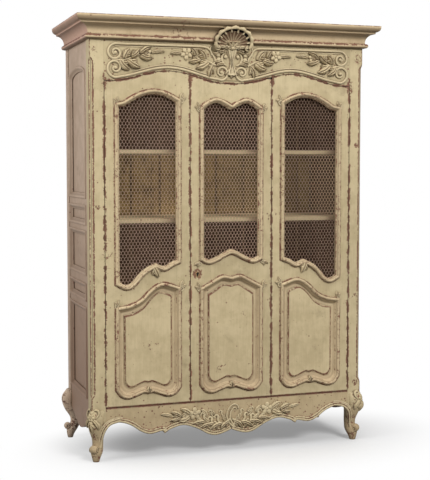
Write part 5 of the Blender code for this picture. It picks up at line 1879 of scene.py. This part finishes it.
    def netting(self) -> None:
        """Six-sided wire netting with twisted uprights, cut to the window."""
        shape = Shape()
        self.one_cell(shape)
        low, high = self.net_low, self.net_high
        pitch = self.cell * math.sqrt(3) / 2
        columns = int(2 * SIGHT_HALF / self.cell) + 3
        self.repeat(shape, columns, Vector((self.cell, 0.0, 0.0)))
        self.repeat(shape, 2, Vector((self.cell / 2, pitch, 0.0)))
        self.repeat(shape, int((high - low) / (2 * pitch)) + 2, Vector((0.0, 2 * pitch, 0.0)))
        start = Vector((self.middle - self.cell * (columns - 0.5) / 2, low, 0.0))
        bmesh.ops.translate(shape.bm, vec=start, verts=shape.bm.verts[:])
        self.clip(shape)
        rim = [Vector(point) for point in grown(self.sight(), 0.002)]
        shape.rope(rim + rim[:2], lambda t: self.wire * 1.4, 1.0, 0.0, 5)
        shape.laid(Matrix.Translation((0.0, NET_PLANE - FRONT, 0.0)) @ Plane.FRONT.value)
        shape.piece(f"{self.label}_netting", self.palette.wire, self.body,
                    [f"{self.label}_wire_net"], 80.0)

    def one_cell(self, shape: Shape) -> None:
        """Two strands twisted up one side and the two slanting wires above.

        Args:
            shape: what the wires are added to.
        """
        side = self.cell / math.sqrt(3)
        for strand in (0, 1):
            points = []
            for step in range(5):
                angle = math.pi * strand + 1.5 * math.pi * step / 4
                points.append((self.wire * math.cos(angle), side * (step / 4 - 0.5),
                               self.wire * math.sin(angle)))
            rings = [[(x + self.wire * math.cos(a), y, h + self.wire * math.sin(a)) for a in turns(4)]
                     for x, y, h in points]
            shape.loft(rings)
        for turn in (-1, 1):
            line = [Vector((self.cell / 2 * (1 + turn), side / 2)), Vector((self.cell / 2, side))]
            shape.rope(line, lambda t: self.wire, 1.0, 0.0, 4)

    @staticmethod
    def repeat(shape: Shape, count: int, step: Vector) -> None:
        """Copy all there is along a step, until there are that many.

        Args:
            shape: what is copied.
            count: how many there are in the end.
            step: from one to the next.
        """
        whole = shape.whole()
        for index in range(1, count):
            bmesh.ops.translate(shape.bm, vec=step * index, verts=shape.copied(whole))

    def clip(self, shape: Shape) -> None:
        """Take away the wire that lies behind the door's wood.

        Args:
            shape: the netting.
        """
        sill = self.sill.across(self.middle, self.hand, SIGHT_HALF)
        head = self.head.across(self.middle, self.hand, SIGHT_HALF)

        def level(line: Line, x: float) -> float:
            """Height of a line at a place across.

            Args:
                line: its places, from left to right.
                x: the place across.

            Returns:
                The height.
            """
            share = (x - line[0][0]) / (line[-1][0] - line[0][0])
            index = min(len(line) - 2, max(0, int(share * (len(line) - 1))))
            while index > 0 and line[index][0] > x:
                index -= 1
            while index < len(line) - 2 and line[index + 1][0] < x:
                index += 1
            (x0, z0), (x1, z1) = line[index], line[index + 1]
            return z0 + (z1 - z0) * clamped((x - x0) / max(x1 - x0, 1e-6))

        hidden = []
        for face in shape.bm.faces:
            spot = face.calc_center_median()
            low = level(sill, spot.x) - self.net_margin
            high = level(head, spot.x) + self.net_margin
            if abs(spot.x - self.middle) > SIGHT_HALF + self.net_margin or not low < spot.y < high:
                hidden.append(face)
        bmesh.ops.delete(shape.bm, geom=hidden, context="FACES")
        open_edges = [edge for edge in shape.bm.edges if edge.is_boundary]
        bmesh.ops.holes_fill(shape.bm, edges=open_edges, sides=6)


@dataclass
class Keyhole:
    """The pierced plate of the lock."""

    palette: Palette
    middle: Point = (-0.190, 0.968)
    bow: Point = (0.0076, 0.0080)
    bit: Point = (0.00456, 0.0145)
    sides: int = 28
    rim: tuple[Point, ...] = (
        (0.0035, -0.0005), (0.0035, 0.0012), (0.0018, 0.0020), (0.0, 0.0012), (0.0, -0.0005))

    def build(self) -> None:
        """A small rim round a dark slot, round above and narrow below."""
        shape = Shape()
        x, z = self.middle
        outline = []
        for angle in reversed(turns(self.sides)):
            wide, tall = self.bow if math.cos(angle) > -0.2 else self.bit
            outline.append((x + wide * math.sin(angle), z + tall * math.cos(angle)))
        rows = [[(px, pz, up) for px, pz in grown(outline, out)] for out, up in self.rim]
        shape.loft(rows, True)
        shape.laid(Plane.FRONT.value)
        shape.piece("keyhole_rim", self.palette.brass, "centre_door")
        # Painted shade: a near-black sheet in the slot for the shade inside the keyhole.
        slot = Shape()
        slot.loft([[(px, pz, up) for px, pz in outline] for up in (-0.0006, 0.0003)])
        slot.laid(Plane.FRONT.value)
        slot.piece("keyhole_slot", self.palette.dark, "centre_door")


@dataclass
class Solids:
    """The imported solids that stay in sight, each given its finish."""

    palette: Palette

    def dress(self) -> None:
        """Put a finish on every solid."""
        for name, node in frame["nodes"].items():
            node.material_slots[0].material = self.finish_of(name)
            log.info("%s: dressed", name)

    def finish_of(self, name: str) -> bpy.types.Material:
        """The finish of one solid, by words in its name.

        Args:
            name: of the solid.

        Returns:
            The finish.
        """
        palette = self.palette
        rules = (
            (("centre_lock_stile",), palette.lock_stile),
            (("pivot", "bolt"), palette.iron),
            (("lock_case",), palette.brass),
            (("side_frame", "side_panel"), palette.flank),
            (("back_panel", "bottom_board"), palette.inside),
            (("shelf",), palette.shelf),
            (("lower_panel",), palette.field),
            (("top_board",), palette.bare),
            (("frieze_rail",), palette.board),
            (("front_apron",), palette.apron),
            (("net",), palette.wire),
        )
        for words, finish in rules:
            if any(word in name for word in words):
                return finish
        return palette.cream


# Studio
@dataclass
class Studio:
    """Floor, light and camera."""

    eye: Triple = (-1.930, -5.705, 1.543)
    pitch: float = 3.57
    yaw: float = 18.69
    lens: float = 81.15
    shift: float = -0.0154
    lamps: tuple[tuple[str, Triple, Triple, Point, float], ...] = (
        ("front_softbox", (1.8, -8.2, 6.7), (0.1, -0.2, 0.90), (3.2, 2.4), 742.0),
        ("high_softbox", (0.3, -2.0, 5.0), (0.0, -0.2, 0.8), (3.0, 1.6), 36.0),
        ("left_softbox", (-3.4, -0.9, 2.3), (-0.76, 0.0, 1.8), (1.6, 1.6), 52.0))
    fill: float = 0.24
    floor_half: float = 30.0
    floor_light: Colour = (0.93, 0.93, 0.93)
    floor_shade: Colour = (0.90, 0.90, 0.90)
    floor_painted_shadow: Colour = (0.10, 0.10, 0.10)
    floor_unseen: Colour = (0.26, 0.26, 0.26)
    floor_middle: Triple = (0.075, -0.08, 0.0)
    floor_stretch: Triple = (0.62, 1.0, 1.0)
    floor_fade: Point = (0.36, 0.84)
    floor_white: float = 0.26

    def build(self) -> None:
        """Set the stage."""
        scene = bpy.context.scene
        scene.view_settings.view_transform = "Standard"
        self.floor()
        self.sky()
        for lamp in self.lamps:
            self.lamp(*lamp)
        lens = bpy.data.cameras.new("camera")
        lens.lens = self.lens
        lens.shift_y = self.shift
        camera = in_scene("camera", lens)
        camera.location = self.eye
        camera.rotation_euler = (math.radians(90.0 - self.pitch), 0.0, math.radians(-self.yaw))
        scene.camera = camera

    def lamp(self, name: str, place: Triple, toward: Triple, size: Point, power: float) -> None:
        """One soft rectangular light.

        Args:
            name: of the light.
            place: where it hangs.
            toward: what it faces.
            size: its width and height.
            power: in watts.
        """
        light = bpy.data.lights.new(name, "AREA")
        light.shape = "RECTANGLE"
        light.size, light.size_y = size
        light.energy = power
        made = in_scene(name, light)
        made.location = place
        made.rotation_euler = (Vector(toward) - Vector(place)).to_track_quat("-Z", "Y").to_euler()

    def floor(self) -> None:
        """A wide pale floor that keeps the shadow, with a painted shadow near the cabinet, and fades to
        white.
        """
        shape = bmesh.new()
        bmesh.ops.create_grid(shape, x_segments=8, y_segments=8, size=self.floor_half)
        mesh = bpy.data.meshes.new("floor")
        shape.to_mesh(mesh)
        shape.free()
        graph = Finish("pale_floor")
        grain = graph.noise(3.0, 4.0)
        colour = graph.blend(grain * 0.3, self.floor_light, self.floor_shade)
        # Painted shadow: the floor darker where the cabinet shuts it in, by ambient occlusion.
        recess = graph.hollow(0.60).between(0.0, 0.9) * 0.42
        colour = graph.blend(recess, colour, self.floor_painted_shadow)
        matt = {"Roughness": 0.9, "Specular IOR Level": 0.0}
        ground = graph.value("ShaderNodeBsdfPrincipled", {}, {"Base Color": colour, **matt})
        white = graph.value("ShaderNodeEmission", {}, {"Color": (1.0, 1.0, 1.0, 1.0), "Strength": 1.0})
        offset = graph.value("ShaderNodeVectorMath", {"operation": "SUBTRACT"},
                             {0: graph.stretched(self.floor_stretch), 1: self.floor_middle})
        away = graph.value("ShaderNodeVectorMath", {"operation": "LENGTH"}, {0: offset}, 1)
        seen = graph.in_sight()
        unseen = (*self.floor_unseen, 1.0)
        dim = graph.value("ShaderNodeBsdfPrincipled", {}, {"Base Color": unseen, **matt})
        share = away.between(*self.floor_fade) * (1.0 - self.floor_white) + self.floor_white
        shown = graph.value("ShaderNodeMixShader", {}, {0: share, 1: ground, 2: white})
        mixed = graph.value("ShaderNodeMixShader", {}, {0: seen, 1: dim, 2: shown})
        graph.node("ShaderNodeOutputMaterial", {}, {"Surface": mixed})
        mesh.materials.append(graph.material)
        made = in_scene("floor", mesh)

    def sky(self) -> None:
        """White to the eye and a soft fill to the object."""
        world = bpy.data.worlds.new("studio")
        bpy.context.scene.world = world
        world.use_nodes = True
        graph = Graph(world.node_tree)
        pure = (1.0, 1.0, 1.0, 1.0)
        fill, white = (graph.value("ShaderNodeBackground", {}, {"Color": pure, "Strength": strength})
                       for strength in (self.fill, 1.0))
        seen = graph.in_sight()
        mixed = graph.value("ShaderNodeMixShader", {}, {0: seen, 1: fill, 2: white})
        graph.node("ShaderNodeOutputWorld", {}, {"Surface": mixed})


def clear_stage() -> None:
    """Take away what the scene held before the cabinet."""
    kept = set(frame["nodes"].values()) | set(frame["bodies"].values())
    for thing in list(bpy.data.objects):
        if thing not in kept:
            bpy.data.objects.remove(thing)


def main() -> None:
    """Build the looks in order."""
    logging.basicConfig(level=logging.INFO, format="%(message)s")
    clear_stage()
    palette = Palette()
    Solids(palette).dress()
    Cornice(palette).build()
    Shell(palette).build()
    Frieze(palette).build()
    for corner in Corner:
        Post(palette, corner).build()
    SideMouldings(palette).build()
    Apron(palette).build()
    for place in Place:
        Door(palette, place).build()
    Keyhole(palette).build()
    Studio().build()


if __name__ == "__main__":
    main()
